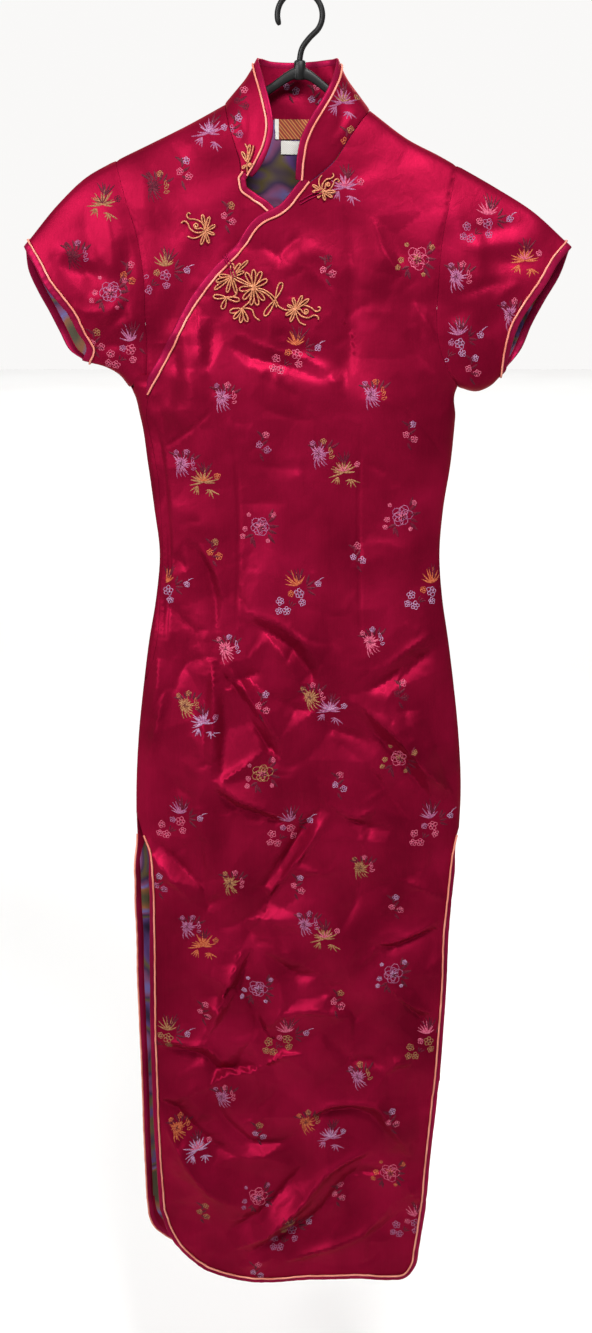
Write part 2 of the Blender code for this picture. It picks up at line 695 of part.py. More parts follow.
def skirt_lining_outline():
    """Inside the back panel, from just above the slits down to just above the hem."""
    slit_zs = np.linspace(SLIT_TOP_Z - 30, SLITS[-1].z, 8)
    top_z = SLIT_TOP_Z + 20
    top = [(read(LEVELS, "left", top_z) + LINING_INSET_SIDE, top_z),
           (read(LEVELS, "right", top_z) - LINING_INSET_SIDE, top_z)]
    right_slit = np.stack([read(SLITS, "back_left", slit_zs) + LINING_INSET_SLIT, slit_zs], axis=1)
    left_slit = np.stack([read(SLITS, "back_right", slit_zs) - LINING_INSET_SLIT, slit_zs], axis=1)
    hem = cut(BACK_HEM, 40)[1:-1] * [0.985, 1] + [0, LINING_INSET_HEM]
    return joined(cut(top, 40), left_slit, hem[::-1], right_slit[::-1])


def make_back_and_linings():
    """Both linings are cut from the back's own points; one shows inside the neck, one in the slit."""
    back = joined(
        back_neck_cut,
        shoulder(NECK_LEFT, TIP_LEFT),
        back_armhole_left_cut,
        side_line("right", UNDERARM_Z, SLIT_TOP_Z + 8),
        back_slit_left_cut,
        back_hem_cut[::-1],
        back_slit_right_cut[::-1],
        side_line("left", UNDERARM_Z, SLIT_TOP_Z + 25)[::-1],
        back_armhole_right_cut[::-1],
        shoulder(TIP_RIGHT, NECK_RIGHT),
    )
    neck = cut(BACK_NECK[1:-1], 24) * [0.97, 1] + [0, -3]
    linings = {"lining_neck": joined(neck, NECK_LINING_EDGE), "lining_skirt": skirt_lining_outline()}
    lines = [np.vstack([line, line[:1]]) for line in linings.values()]
    flat, faces = fill(back, BACK_STEP, lines)
    panel("back_panel", flat, faces, back_y, WALL, SATIN)
    for name, line in linings.items():
        panel(name, flat, within(flat, faces, line), back_y, LINING_WALL, LINING,
              lambda points: WALL + SEAM_GAP)


def make_placket():
    """The zip's cover: a narrow strip between the front's edge and the back's side seam."""
    inner_edge = placket_cut + [-SEAM_GAP, 0]
    zs = inner_edge[::-1, 1]
    side = np.stack([read(LEVELS, "left", zs) + 0.2, zs], axis=1)
    foot = [(-172.5, -722)]
    outline = joined(inner_edge[1:-1], [inner_edge[-1]], foot, side[1:-1])
    flat, faces = fill(outline, 40)
    panel("zip_placket", flat, faces, front_y, WALL, SATIN)


def sleeve_rings(front_edge, back_edge, top, under, cuff_front, cuff_back, front_sunk, folds):
    """Rings of the sleeve's outer face from armhole to cuff, each down the front and up the back."""
    count = len(front_edge)
    shares = np.linspace(0, 1, SLEEVE_STATIONS)
    w = np.linspace(0, 1, count)
    halves = []
    for facing, edge, cuff, depth in ((-1, front_edge, cuff_front, CUFF_DEPTH_FRONT),
                                      (1, back_edge, cuff_back, CUFF_DEPTH_BACK)):
        surface = front_y if facing < 0 else back_y
        start, start_normals = lay(surface, edge)
        if facing < 0:
            start = start - start_normals * front_sunk[:, None]
        end_flat = along(cuff, w)
        end_y = facing * (CUFF_FOLD + depth * np.sin(math.pi * w) ** 0.7)
        end = np.stack([end_flat[:, 0], end_y, end_flat[:, 1]], axis=1)
        fold_y = SEAM_EDGE + (CUFF_FOLD - SEAM_EDGE) * shares
        guides = []
        for line, corner in ((top, 0), (under, -1)):
            flat = along(line, shares)
            guide = np.stack([flat[:, 0], facing * fold_y, flat[:, 1]], axis=1)
            guide[0] = start[corner]
            guide[-1] = end[corner]
            guides.append(guide)
        k, v = shares[:, None, None], w[None, :, None]
        patch = (1 - v) * guides[0][:, None] + v * guides[1][:, None] + (1 - k) * start + k * end
        patch -= (1 - k) * ((1 - v) * start[0] + v * start[-1]) + k * ((1 - v) * end[0] + v * end[-1])
        lift = relief(patch[..., 0], patch[..., 2], folds)
        patch[..., 1] += facing * lift * np.sin(math.pi * w)[None, :] * np.sin(math.pi * shares)[:, None]
        halves.append((patch, start_normals))
    rings = np.concatenate([halves[0][0], halves[1][0][:, ::-1]], axis=1)
    edge_normals = np.concatenate([halves[0][1], halves[1][1][::-1]])
    return rings, edge_normals


def ring_normals(rings):
    around = np.roll(rings, -1, axis=1) - np.roll(rings, 1, axis=1)
    forward = np.gradient(rings, axis=0)
    normals = unit(np.cross(around, forward))
    centre = rings.mean(axis=1, keepdims=True)
    if ((rings - centre) * normals).sum() < 0:
        normals = -normals
    return normals


def tube_wall(name, outer, inner, finish):
    """A wall open at both ends, between two equal sets of rings."""
    stations, corners = outer.shape[:2]
    total = stations * corners
    faces = []
    for i in range(stations - 1):
        for a in range(corners):
            b = (a + 1) % corners
            quad = [i * corners + a, i * corners + b, (i + 1) * corners + b, (i + 1) * corners + a]
            faces.append(quad)
            faces.append([total + q for q in quad[::-1]])
    for i in (0, stations - 1):
        for a in range(corners):
            b = (a + 1) % corners
            faces.append([i * corners + a, i * corners + b, total + i * corners + b, total + i * corners + a])
    points = np.vstack([outer.reshape(-1, 3), inner.reshape(-1, 3)])
    return solid(name, points, faces, finish)


def make_sleeve(side, front_edge, back_edge, top, under, cuff_front, cuff_back, front_sunk, folds):
    rings, edge_normals = sleeve_rings(
        front_edge, back_edge, top, under, cuff_front, cuff_back, front_sunk, folds)
    normals = ring_normals(rings)
    forward = unit(np.gradient(rings, axis=0))
    rings[0] += forward[0] * SEAM_GAP
    wall_normals = normals.copy()
    wall_normals[0] = edge_normals
    tube_wall("sleeve_" + side, rings, rings - wall_normals * WALL, SATIN)
    skin = rings - normals * (WALL + SEAM_GAP)
    shown = slice(SLEEVE_STATIONS - 3, SLEEVE_STATIONS)
    lining_outer = skin[shown] - forward[shown] * 1.5
    tube_wall("lining_sleeve_" + side, lining_outer, lining_outer - normals[shown] * LINING_WALL, LINING)
    cuff_normals = normals[-1]
    cuff_away = forward[-1] - cuff_normals * (forward[-1] * cuff_normals).sum(axis=1, keepdims=True)
    bind_edge("cuff_" + side, rings[-1], cuff_normals, unit(cuff_away), closed=True)


def make_sleeves():
    right_front = np.vstack([armhole_right_cut, armhole_low_cut[1:]])
    right_sunk = np.concatenate([under_overlap(armhole_right_cut), [1.0, 0.0]])
    make_sleeve("right", right_front, back_armhole_right_cut, RIGHT_TOP, RIGHT_UNDER,
                RIGHT_CUFF_FRONT, RIGHT_CUFF_BACK, right_sunk, RIGHT_SLEEVE_FOLDS)
    make_sleeve("left", armhole_left_cut, back_armhole_left_cut, LEFT_TOP, LEFT_UNDER,
                LEFT_CUFF_FRONT, LEFT_CUFF_BACK, np.zeros(len(armhole_left_cut)), LEFT_SLEEVE_FOLDS)


def collar_rings():
    """Rows of the collar's outer face, from the points of the neck seam up to the piping line."""
    edges = (
        ("right", underlap_neck_cut[::-1], front_y),
        ("back", back_neck_cut, back_y),
        ("left", front_neck_cut, front_y),
    )
    foot, place, starts, reach = [], [], {}, 0.0
    for name, line, surface in edges:
        length = np.linalg.norm(np.diff(line, axis=0), axis=1)
        starts[name] = (reach, length.sum())
        skip = 1 if foot else 0
        foot += list(lay(surface, line)[0][skip:])
        place += list(reach + np.concatenate([[0], np.cumsum(length)])[skip:])
        reach += length.sum()
    foot, place = np.array(foot), np.array(place)
    seats = []
    for station in COLLAR:
        start, length = starts[station.edge]
        seat = 1 - station.seat if station.edge == "right" else station.seat
        seats.append(start + seat * length)
    rim = np.stack([smooth(place, seats, [getattr(row, axis) for row in COLLAR]) for axis in "xyz"], axis=1)
    foot = foot + unit(rim - foot) * (SEAM_GAP + 0.2)
    shares = np.linspace(0, 1, COLLAR_ROWS + 1)
    return np.array([foot + (rim - foot) * share for share in shares])


def on_band(rows, normals, across_band, up_band, height):
    """Points `height` off the collar's face, at places counted in stations round it and rows up it."""
    i = np.clip(across_band.astype(int), 0, rows.shape[1] - 2)
    k = np.clip(up_band.astype(int), 0, rows.shape[0] - 2)
    u, v = (across_band - i)[:, None], (up_band - k)[:, None]

    def mix(grid):
        lower = (1 - u) * grid[k, i] + u * grid[k, i + 1]
        upper = (1 - u) * grid[k + 1, i] + u * grid[k + 1, i + 1]
        return (1 - v) * lower + v * upper

    facing = unit(mix(normals))
    return mix(rows) + facing * height, facing


def make_collar_frog(rows, normals):
    turn = np.linspace(0, 2 * math.pi, COLLAR_FROG_PETALS * 5, endpoint=False)
    wave = 0.78 + 0.22 * np.cos(COLLAR_FROG_PETALS * turn)
    height = FROG_CORD_RADIUS + FROG_LIFT + 0.3
    (station, share), (reach_round, reach_up) = COLLAR_FROG_MIDDLE, COLLAR_FROG_REACH
    points, facing = on_band(rows, normals, station + reach_round * wave * np.cos(turn),
                             COLLAR_ROWS * (share + reach_up * wave * np.sin(turn)), height)
    cord("frog_flower_collar", points, facing, FROG_CORD_RADIUS, CORD, closed=True, sides=4)
    middle, middle_facing = on_band(rows, normals, np.array([station]), np.array([COLLAR_ROWS * share]), 0.0)
    flat_out = unit(points - middle - middle_facing * height)[::4]
    rings = [
        middle + middle_facing * (SEAM_GAP + lift) + size * FROG_KNOB_RADIUS * flat_out
        for lift, size in KNOB_ROUND
    ]
    sweep("frog_flower_collar_knob", rings, CORD)


def make_collar():
    rows = collar_rings()
    along_band = np.gradient(rows, axis=1)
    up_band = np.gradient(rows, axis=0)
    normals = unit(np.cross(along_band, up_band))
    axis = np.array([0.0, -4.0, 0.0])
    flat_out = (rows - axis) * [1, 1, 0]
    if (normals * flat_out).sum() < 0:
        normals = -normals
    inner = rows - normals * COLLAR_WALL
    count, stations = rows.shape[:2]
    total = count * stations
    faces = []
    for i in range(count - 1):
        for a in range(stations - 1):
            low, high = i * stations + a, (i + 1) * stations + a
            quad = [low, low + 1, high + 1, high]
            faces.append(quad)
            faces.append([total + q for q in quad[::-1]])
    border = list(range(stations)) + [i * stations + stations - 1 for i in range(1, count)]
    border += [(count - 1) * stations + a for a in range(stations - 2, -1, -1)]
    border += [i * stations for i in range(count - 2, 0, -1)]
    for a, b in zip(border, border[1:] + border[:1]):
        faces.append([b, a, a + total, b + total])
    solid("collar", np.vstack([rows.reshape(-1, 3), inner.reshape(-1, 3)]), faces, SATIN)
    rim, rim_normals = rows[-1], normals[-1]
    away = edge_frame(rim, rim_normals, up_band[-1])
    bind_edge("collar", rim, rim_normals, away, wall=COLLAR_WALL, width=COLLAR_BINDING_WIDTH)
    make_collar_frog(rows, normals)


def make_edge_trims():
    points, normals = lay(front_y, overlap_cut[1:-1])
    bind_edge("overlap", points, normals, edge_frame(points, normals, np.array([-1.0, 0.0, 1.0])))
    flat = underlap_edge_cut[1:-2]
    points, normals = lay(front_y, flat)
    points = points - normals * under_overlap(flat)[:, None]
    bind_edge("underlap", points, normals, edge_frame(points, normals, np.array([1.0, 0.0, 1.0])), width=6.0)
    skirt_middle = np.array([0.0, 0.0, -1150.0])
    for side, surface, first, hem, last in (
            ("front_skirt", front_y, front_slit_right_cut, front_hem_cut, front_slit_left_cut),
            ("back_skirt", back_y, back_slit_right_cut, back_hem_cut, back_slit_left_cut)):
        line = joined(first[1:], hem[1:-1], last[:0:-1])
        points, normals = lay(surface, line)
        bind_edge(side, points, normals, edge_frame(points, normals, points - skirt_middle))


def petal_ring(x, z, radius, petals, turn, count):
    """A cord that runs round a flower: out along each petal and back in."""
    angles = np.linspace(0, 2 * math.pi, count, endpoint=False)
    reach = radius * (0.7 + 0.3 * np.cos(petals * (angles - turn)))
    return np.stack([x + reach * np.cos(angles), z + reach * np.sin(angles)], axis=1)


def make_frogs():
    height = FROG_CORD_RADIUS + FROG_LIFT
    for flower in FLOWERS:
        flat = petal_ring(flower.x, flower.z, flower.radius, flower.petals, flower.turn, flower.petals * 5)
        points, normals = on_cloth(front_y, flat, height)
        if flower.on == "underlap":
            points = points - normals * under_overlap(flat)[:, None]
        cord(flower.name, points, normals, FROG_CORD_RADIUS, CORD, closed=True, sides=4)
        knob = petal_ring(flower.x, flower.z, FROG_KNOB_RADIUS, 1, 0, 6)
        points, normals = on_cloth(front_y, knob, 0.0)
        centre, facing = on_cloth(front_y, [(flower.x, flower.z)], 0.0)
        seat = centre.copy()
        if flower.on == "underlap":
            seat = seat - facing * under_overlap([(flower.x, flower.z)])
        rings = [
            seat + facing * (SEAM_GAP + 0.1 + lift) + (points - centre) * size for lift, size in KNOB_ROUND
        ]
        sweep(flower.name + "_knob", rings, CORD)
    points, normals = on_cloth(front_y, cut(FROG_STEM, 5), height)
    cord("frog_stem", points, normals, FROG_CORD_RADIUS, CORD, sides=4)
    for leaf in FROG_LEAVES:
        angles = np.linspace(0, 2 * math.pi, 12, endpoint=False)
        u, v = LEAF_LENGTH / 2 * np.cos(angles), LEAF_HALF_WIDTH * np.sin(angles)
        turn = math.radians(leaf.degrees)
        flat = np.stack([leaf.x + u * math.cos(turn) - v * math.sin(turn),
                         leaf.z + u * math.sin(turn) + v * math.cos(turn)], axis=1)
        points, normals = on_cloth(front_y, flat, height)
        cord(leaf.name, points, normals, FROG_CORD_RADIUS, CORD, closed=True, sides=4)


def make_label():
    """A bare woven label at the back neck, with a size tape under it."""
    depth = WALL + SEAM_GAP + LINING_WALL + LABEL_GAP
    for name, (left, right, top, bottom), finish in (
            ("label", LABEL, LABEL_WEAVE), ("size_tag", SIZE_TAG, TAG_TAPE)):
        columns = np.linspace(left, right, 5)
        flat = [(x, z) for z in (top, bottom) for x in columns]
        outer, normals = lay(back_y, flat)
        outer = outer - normals * depth
        inner = outer - normals * LABEL_THICKNESS
        count = len(columns)
        rings = [np.array([outer[a], outer[a + count], inner[a + count], inner[a]]) for a in range(count)]
        sweep(name, rings, finish)


def make_hanger():
    """One moulding: two sloping arms, a boss in the middle and the rod of the hook."""
    xs = [p[0] for p in ARM_TOP]
    zs = [p[1] for p in ARM_TOP]
    rings = []
    for x, z in zip(xs, zs):
        height = ARM_HEIGHT_END + (ARM_HEIGHT_MIDDLE - ARM_HEIGHT_END) * math.exp(-abs(x) / 60)
        shape = [(-1, -ARM_EDGE_DROP), (-0.4, 0), (0.4, 0), (1, -ARM_EDGE_DROP), (1, -height), (-1, -height)]
        rings.append([(x, side * ARM_HALF_THICKNESS, z + drop) for side, drop in shape])
    arms = sweep("hanger", rings, MOULDED)
    bend = HOOK_INNER_RADIUS + HOOK_ROD_RADIUS
    turn = np.radians(np.linspace(-40, HOOK_TIP_ANGLE, 18))
    bow = np.stack([np.cos(turn), np.zeros_like(turn), np.sin(turn)], axis=1) * bend
    bow[:, 2] -= HOOK_INNER_RADIUS
    rise_points = [(0, HOOK_STEM_FOOT - 4), (0, -62), (2, -53), (9, -43), tuple(bow[0, [0, 2]])]
    rise = along(rise_points, np.linspace(0, 1, 7))
    stem = np.stack([rise[:, 0], np.zeros(len(rise)), rise[:, 1]], axis=1)
    path = np.vstack([stem[:-1], bow])
    facing = np.tile([0.0, -1.0, 0.0], (len(path), 1))
    hook = cord("hanger_hook", path, facing, HOOK_ROD_RADIUS, MOULDED, sides=10)
    boss_rings = [[(6.0 * math.cos(a), 4.4 * math.sin(a), z) for a in np.linspace(0, 2 * math.pi, 13)[:-1]]
                  for z in (-82.0, -64.0)]
    boss = sweep("hanger_boss", boss_rings, MOULDED)
    for part in (hook, boss):
        part.hide_render = True
        part.display_type = "WIRE"
        union = arms.modifiers.new("join " + part.name, "BOOLEAN")
        union.operation = "UNION"
        union.solver = "EXACT"
        union.object = part


def main():
    make_front_and_underlap()
    make_back_and_linings()
    make_placket()
    make_sleeves()
    make_collar()
    make_edge_trims()
    make_frogs()
    make_label()
    make_hanger()


main()
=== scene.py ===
import math
from collections import namedtuple

import bmesh
import bpy
import numpy as np
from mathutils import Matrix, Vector
from mathutils.bvhtree import BVHTree
from mathutils.geometry import delaunay_2d_cdt


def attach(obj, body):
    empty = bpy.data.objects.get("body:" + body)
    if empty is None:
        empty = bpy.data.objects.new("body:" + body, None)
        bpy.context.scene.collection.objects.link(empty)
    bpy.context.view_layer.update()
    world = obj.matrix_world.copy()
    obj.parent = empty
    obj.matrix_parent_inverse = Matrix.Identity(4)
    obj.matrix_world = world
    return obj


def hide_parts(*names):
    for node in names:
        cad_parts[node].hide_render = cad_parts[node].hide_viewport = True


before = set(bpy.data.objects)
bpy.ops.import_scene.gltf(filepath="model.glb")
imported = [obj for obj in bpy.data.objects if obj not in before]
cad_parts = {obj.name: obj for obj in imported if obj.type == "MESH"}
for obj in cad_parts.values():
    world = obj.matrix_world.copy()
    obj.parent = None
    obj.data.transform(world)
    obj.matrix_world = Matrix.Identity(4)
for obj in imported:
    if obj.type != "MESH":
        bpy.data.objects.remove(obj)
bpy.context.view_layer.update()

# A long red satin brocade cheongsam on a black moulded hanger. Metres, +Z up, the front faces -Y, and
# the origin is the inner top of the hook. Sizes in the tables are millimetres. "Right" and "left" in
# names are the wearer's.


# ---------------------------------------------------------------- camera
# A hand-held camera with a normal lens, two metres in front of the dress at the height of its
# shoulders, pitched down so that the whole length fills the frame.

camera_data = bpy.data.cameras.new("camera")
camera_data.sensor_fit = "VERTICAL"
camera_data.sensor_height = 36.0
camera_data.lens = 47.8
camera = bpy.data.objects.new("camera", camera_data)
camera.location = (-0.004, -1.92, -0.195)
camera.rotation_euler = (math.radians(75), 0, 0)
bpy.context.scene.collection.objects.link(camera)
bpy.context.scene.camera = camera


# ---------------------------------------------------------------- floor and studio light
# Plain off-white vinyl floor, rolled out matt so that it shows no more than a soft shadow, and
# soft boxes: a tall strip on the left as key, one above, one behind, and a wide sail far behind.

def linear(hex_colour):
    """An sRGB hex colour as linear RGBA."""
    parts = [int(hex_colour[i:i + 2], 16) / 255 for i in (1, 3, 5)]
    return tuple(c / 12.92 if c < 0.04045 else ((c + 0.055) / 1.055) ** 2.4 for c in parts) + (1.0,)


def node(tree, kind, settings=None, links=None):
    """One node with its settings, sockets by name or number, and its links."""
    made = tree.nodes.new(kind)
    for key, value in (settings or {}).items():
        if key == "stops":
            for place, (at, colour) in enumerate(value):
                if place > 1:
                    made.color_ramp.elements.new(at)
                made.color_ramp.elements[place].position = at
                made.color_ramp.elements[place].color = colour
        elif isinstance(key, int) or key in made.inputs:
            made.inputs[key].default_value = value
        else:
            setattr(made, key, value)
    for key, source in (links or {}).items():
        tree.links.new(source, made.inputs[key])
    return made


def new_material(name, **sockets):
    """A material with its Principled shader, with constants set on the shader's own sockets."""
    made = bpy.data.materials.new(name)
    made.use_nodes = True
    shader = made.node_tree.nodes["Principled BSDF"]
    for key, value in sockets.items():
        shader.inputs[key.replace("_", " ")].default_value = value
    return made, made.node_tree, shader


def noise(tree, size, detail=2.0, **settings):
    """Noise with features about `size` metres across, fixed to the piece."""
    place = node(tree, "ShaderNodeTexCoord").outputs["Object"]
    settings.update({"Scale": 1 / size, "Detail": detail})
    return node(tree, "ShaderNodeTexNoise", settings, {"Vector": place}).outputs["Fac"]


def coloured(tree, shader, pattern, stops):
    """Colours the shader by a pattern, with hex colours at places along its values."""
    stops = [(at, linear(colour)) for at, colour in stops]
    ramp = node(tree, "ShaderNodeValToRGB", {"stops": stops}, {"Fac": pattern})
    tree.links.new(ramp.outputs["Color"], shader.inputs["Base Color"])


def raised(tree, shader, pattern, strength, distance):
    """Raises the shader's surface by a pattern, up to `distance` metres."""
    bump = node(tree, "ShaderNodeBump", {"Strength": strength, "Distance": distance}, {"Height": pattern})
    tree.links.new(bump.outputs["Normal"], shader.inputs["Normal"])


FLOOR_Z = -1.72
FLOOR_CORNERS = [(-14, -14), (14, -14), (14, 14), (-14, 14)]

matt_vinyl, tree, shader = new_material("matt off-white vinyl floor", Roughness=0.9)
coloured(tree, shader, noise(tree, 0.9), [(0.3, "#F7F6F5"), (0.7, "#FAFAF9")])

floor_mesh = bpy.data.meshes.new("floor")
floor_mesh.from_pydata([(x, y, FLOOR_Z) for x, y in FLOOR_CORNERS], [], [(0, 1, 2, 3)])
floor_mesh.materials.append(matt_vinyl)
floor = bpy.data.objects.new("floor", floor_mesh)
bpy.context.scene.collection.objects.link(floor)

# The world lights the dress from overhead, hardly at all from in front, and shows white behind it.
WORLD_IN_FRONT, WORLD_OVERHEAD, WORLD_SEEN = 0.12, 0.38, 1.03
world = bpy.data.worlds.new("pale studio")
world.use_nodes = True
tree = world.node_tree
tree.nodes["Background"].inputs["Color"].default_value = linear("#F6F5F4")
towards = node(tree, "ShaderNodeTexCoord").outputs["Generated"]
direction = node(tree, "ShaderNodeSeparateXYZ", {}, {0: towards})
overhead = node(
    tree, "ShaderNodeMapRange",
    {"From Min": 0.3, "From Max": 0.95, "To Min": WORLD_IN_FRONT, "To Max": WORLD_OVERHEAD},
    {"Value": direction.outputs["Z"]})
seen = node(tree, "ShaderNodeMix", {"data_type": "FLOAT", 3: WORLD_SEEN},
            {0: node(tree, "ShaderNodeLightPath").outputs["Is Camera Ray"], 2: overhead.outputs["Result"]})
tree.links.new(seen.outputs[0], tree.nodes["Background"].inputs["Strength"])
bpy.context.scene.world = world
bpy.context.scene.view_settings.view_transform = "Standard"

SoftBox = namedtuple("SoftBox", "name place aim width height watts spread")
for box in (
    SoftBox("key strip box", (-1.35, -1.55, 0.15), (0.15, 0.0, -0.75), 0.35, 1.2, 9.5, 80),
    SoftBox("top soft box", (0.35, -1.3, 0.9), (0.05, 0.0, -0.6), 0.7, 0.35, 7.4, 70),
    SoftBox("back soft box", (0.9, 2.2, 0.9), (0.0, 0.0, -0.6), 1.4, 1.4, 24, 180),
    SoftBox("overhead sail box", (0.0, 8.6, 2.6), (0.0, 8.5, -1.7), 14.0, 15.0, 800, 180),
):
    lamp = bpy.data.lights.new(box.name, "AREA")
    lamp.shape = "RECTANGLE"
    lamp.size, lamp.size_y, lamp.energy = box.width, box.height, box.watts
    lamp.spread = math.radians(box.spread)
    light = bpy.data.objects.new(box.name, lamp)
    light.location = box.place
    light.rotation_euler = (Vector(box.aim) - Vector(box.place)).to_track_quat("-Z", "Y").to_euler()
    bpy.context.scene.collection.objects.link(light)


# ---------------------------------------------------------------- front panel
# The whole front in one piece of polyester satin brocade on an interlining, cut with the diagonal
# overlap that closes to the wearer's right. Two bust darts and two long waist darts shape it, and
# packing has left press folds and crumples all over it.

MM = 0.001
WALL = 1.6  # satin and its interlining
SEAM_GAP = 0.3  # between pieces that are sewn together
SEAM_EDGE = WALL + SEAM_GAP / 2
SEAM_DIP = 0.8  # how far the stitching pulls the cloth in along a seam
SEAM_REACH = 2.6  # and how wide the dip is
CREASE_REACH = 3.2  # in a crease's widths; it lifts nothing beyond
CREASE_HEIGHT = 1.5  # on the rises in the tables of creases
NET_HEIGHT = 2.6  # the same for the facets between the creases, in the skirt
NET_HEIGHT_TOP = 1.3  # and above it
NET_GROWS_BELOW, NET_GROWS_OVER = -560, 260  # where the one passes into the other
NET_SPACING = 38  # of the facets' corners
NET_BOX = (-260, 261, -1530, -50)  # left, right, bottom, top
ROW_PITCH = 0.87  # of the rows of a triangular lattice, in spacings of its points
CLOTH_STEP = 3.9  # spacing of the points in the cloth's mesh
SHOULDER_ROLL = 110.0  # how far below the shoulder line the cloth reaches its full depth
UNDERARM_Z = -398.0
SLIT_TOP_Z = -908.0
SKIRT_OPENS_OVER = 220.0

# Height, the two sides of the dress, and how far front and back stand off the middle plane.
# The rows above the underarm reach into the sleeves.
Level = namedtuple("Level", "z left right front back")
LEVELS = [Level(*row) for row in [
    (-163, -262, 258, 24, 20),
    (-240, -254, 250, 28, 24),
    (-300, -243, 238, 31, 24),
    (-350, -222, 215, 33, 23),
    (-380, -200, 191, 34, 21),
    (UNDERARM_Z, -183, 171, 34, 20),
    (-430, -173, 169, 32, 19),
    (-480, -166, 165, 28, 17),
    (-530, -160, 158, 24, 15),
    (-580, -155, 155, 22, 14),
    (-630, -160, 159, 22, 15),
    (-680, -169, 167, 23, 18),
    (-730, -176, 174, 24, 20),
    (-790, -183, 181, 25, 22),
    (-850, -187, 185, 26, 22),
    (SLIT_TOP_Z, -188, 184, 25, 20),
    (-1000, -188, 180, 24, 18),
    (-1200, -188, 172, 23, 18),
    (-1490, -180, 152, 22, 17),
]]

# Below the slits: the piping line of each panel's two edges.
Slit = namedtuple("Slit", "z front_left front_right back_left back_right")
SLITS = [Slit(*row) for row in [
    (SLIT_TOP_Z, -179, 181, -179, 180),
    (-930, -171, 177, -186, 172),
    (-960, -169, 174, -187, 164),
    (-1020, -169, 169, -186, 157),
    (-1100, -170, 167, -186, 152),
    (-1200, -170, 162, -184, 150),
    (-1300, -168, 154, -183, 147),
    (-1385, -164, 148, -182, 143),
]]
# Points of the cut lines, as (x, z).
SHOULDER_LINE = [
    (-287, -245), (-256, -214), (-223, -180), (-192, -163), (-156, -146), (-116, -127), (-78, -107),
    (-40, -86), (0, -78), (40, -90), (73, -113), (112, -141), (146, -158), (175, -174), (245, -215),
    (285, -245),
]
NECK_LEFT = (73, -113)
TIP_LEFT = (164, -168)
FRONT_NECK = [NECK_LEFT, (62, -126), (50, -143), (35, -165), (20, -178), (4, -190)]
OVERLAP = [
    (4, -190), (-16, -213), (-42, -227), (-60, -251), (-91, -283), (-112, -311), (-139, -361),
    (-161, -399),
]
ARMHOLE_LEFT = [
    TIP_LEFT, (156, -204), (148, -248), (145, -294), (144, -323), (147, -350), (157, -376), (171, UNDERARM_Z),
]
PLACKET_LINE = [
    (-161, -399), (-165, -426), (-159, -462), (-154, -493), (-152, -530), (-151, -580), (-155, -630),
    (-158, -672), (-164, -700),
]
PLACKET_FOOT = [(-164, -700), (-172, -722)]
FRONT_HEM = [
    (-164, -1385), (-155, -1414), (-137, -1441), (-112, -1462), (-85, -1472), (-37, -1477), (20, -1475),
    (75, -1473), (112, -1477), (128, -1476), (137, -1464), (141, -1440), (148, -1385),
]

# Soft folds: a ridge (rise > 0) or a trough along a line, as wide as `width` to each side.
Fold = namedtuple("Fold", "x0 z0 x1 z1 width rise")
FRONT_FOLDS = [Fold(*row) for row in [
    (-122, -322, -112, -440, 20, 5), (-142, -350, -136, -420, 15, -4), (-20, -250, 96, -290, 20, 4),
    (-70, -345, 60, -372, 17, -4), (-30, -380, 120, -420, 18, 4), (52, -300, 62, -640, 22, -4),
    (-150, -520, -66, -560, 18, 3.5), (40, -600, 150, -560, 18, 3.5), (-100, -676, -112, -965, 17, 5),
    (-92, -700, -26, -795, 17, 5), (-60, -655, 12, -736, 18, -4.5), (-98, -832, -24, -884, 17, 4.5),
    (30, -860, -84, -1068, 20, -4), (70, -715, 176, -836, 22, 6), (2, -715, 146, -900, 22, -4),
    (-168, -930, -100, -985, 18, 5), (-44, -1000, -12, -1070, 18, 5), (-10, -985, 120, -1130, 24, 6),
    (60, -940, 160, -1060, 20, -5), (-150, -1090, -60, -1230, 22, -4), (20, -1150, 140, -1290, 26, 5),
    (-162, -1305, -60, -1392, 20, 6), (-60, -1392, 60, -1372, 22, 5), (-20, -1440, 120, -1350, 22, -4),
    (60, -1200, 75, -1470, 26, -5), (-50, -1260, -42, -1470, 30, 6),
]]
BUST_POINTS = [(-92, -412), (88, -402)]  # where the darts end
BUST_FULLNESS = 6.0
BUST_RADIUS = 55.0
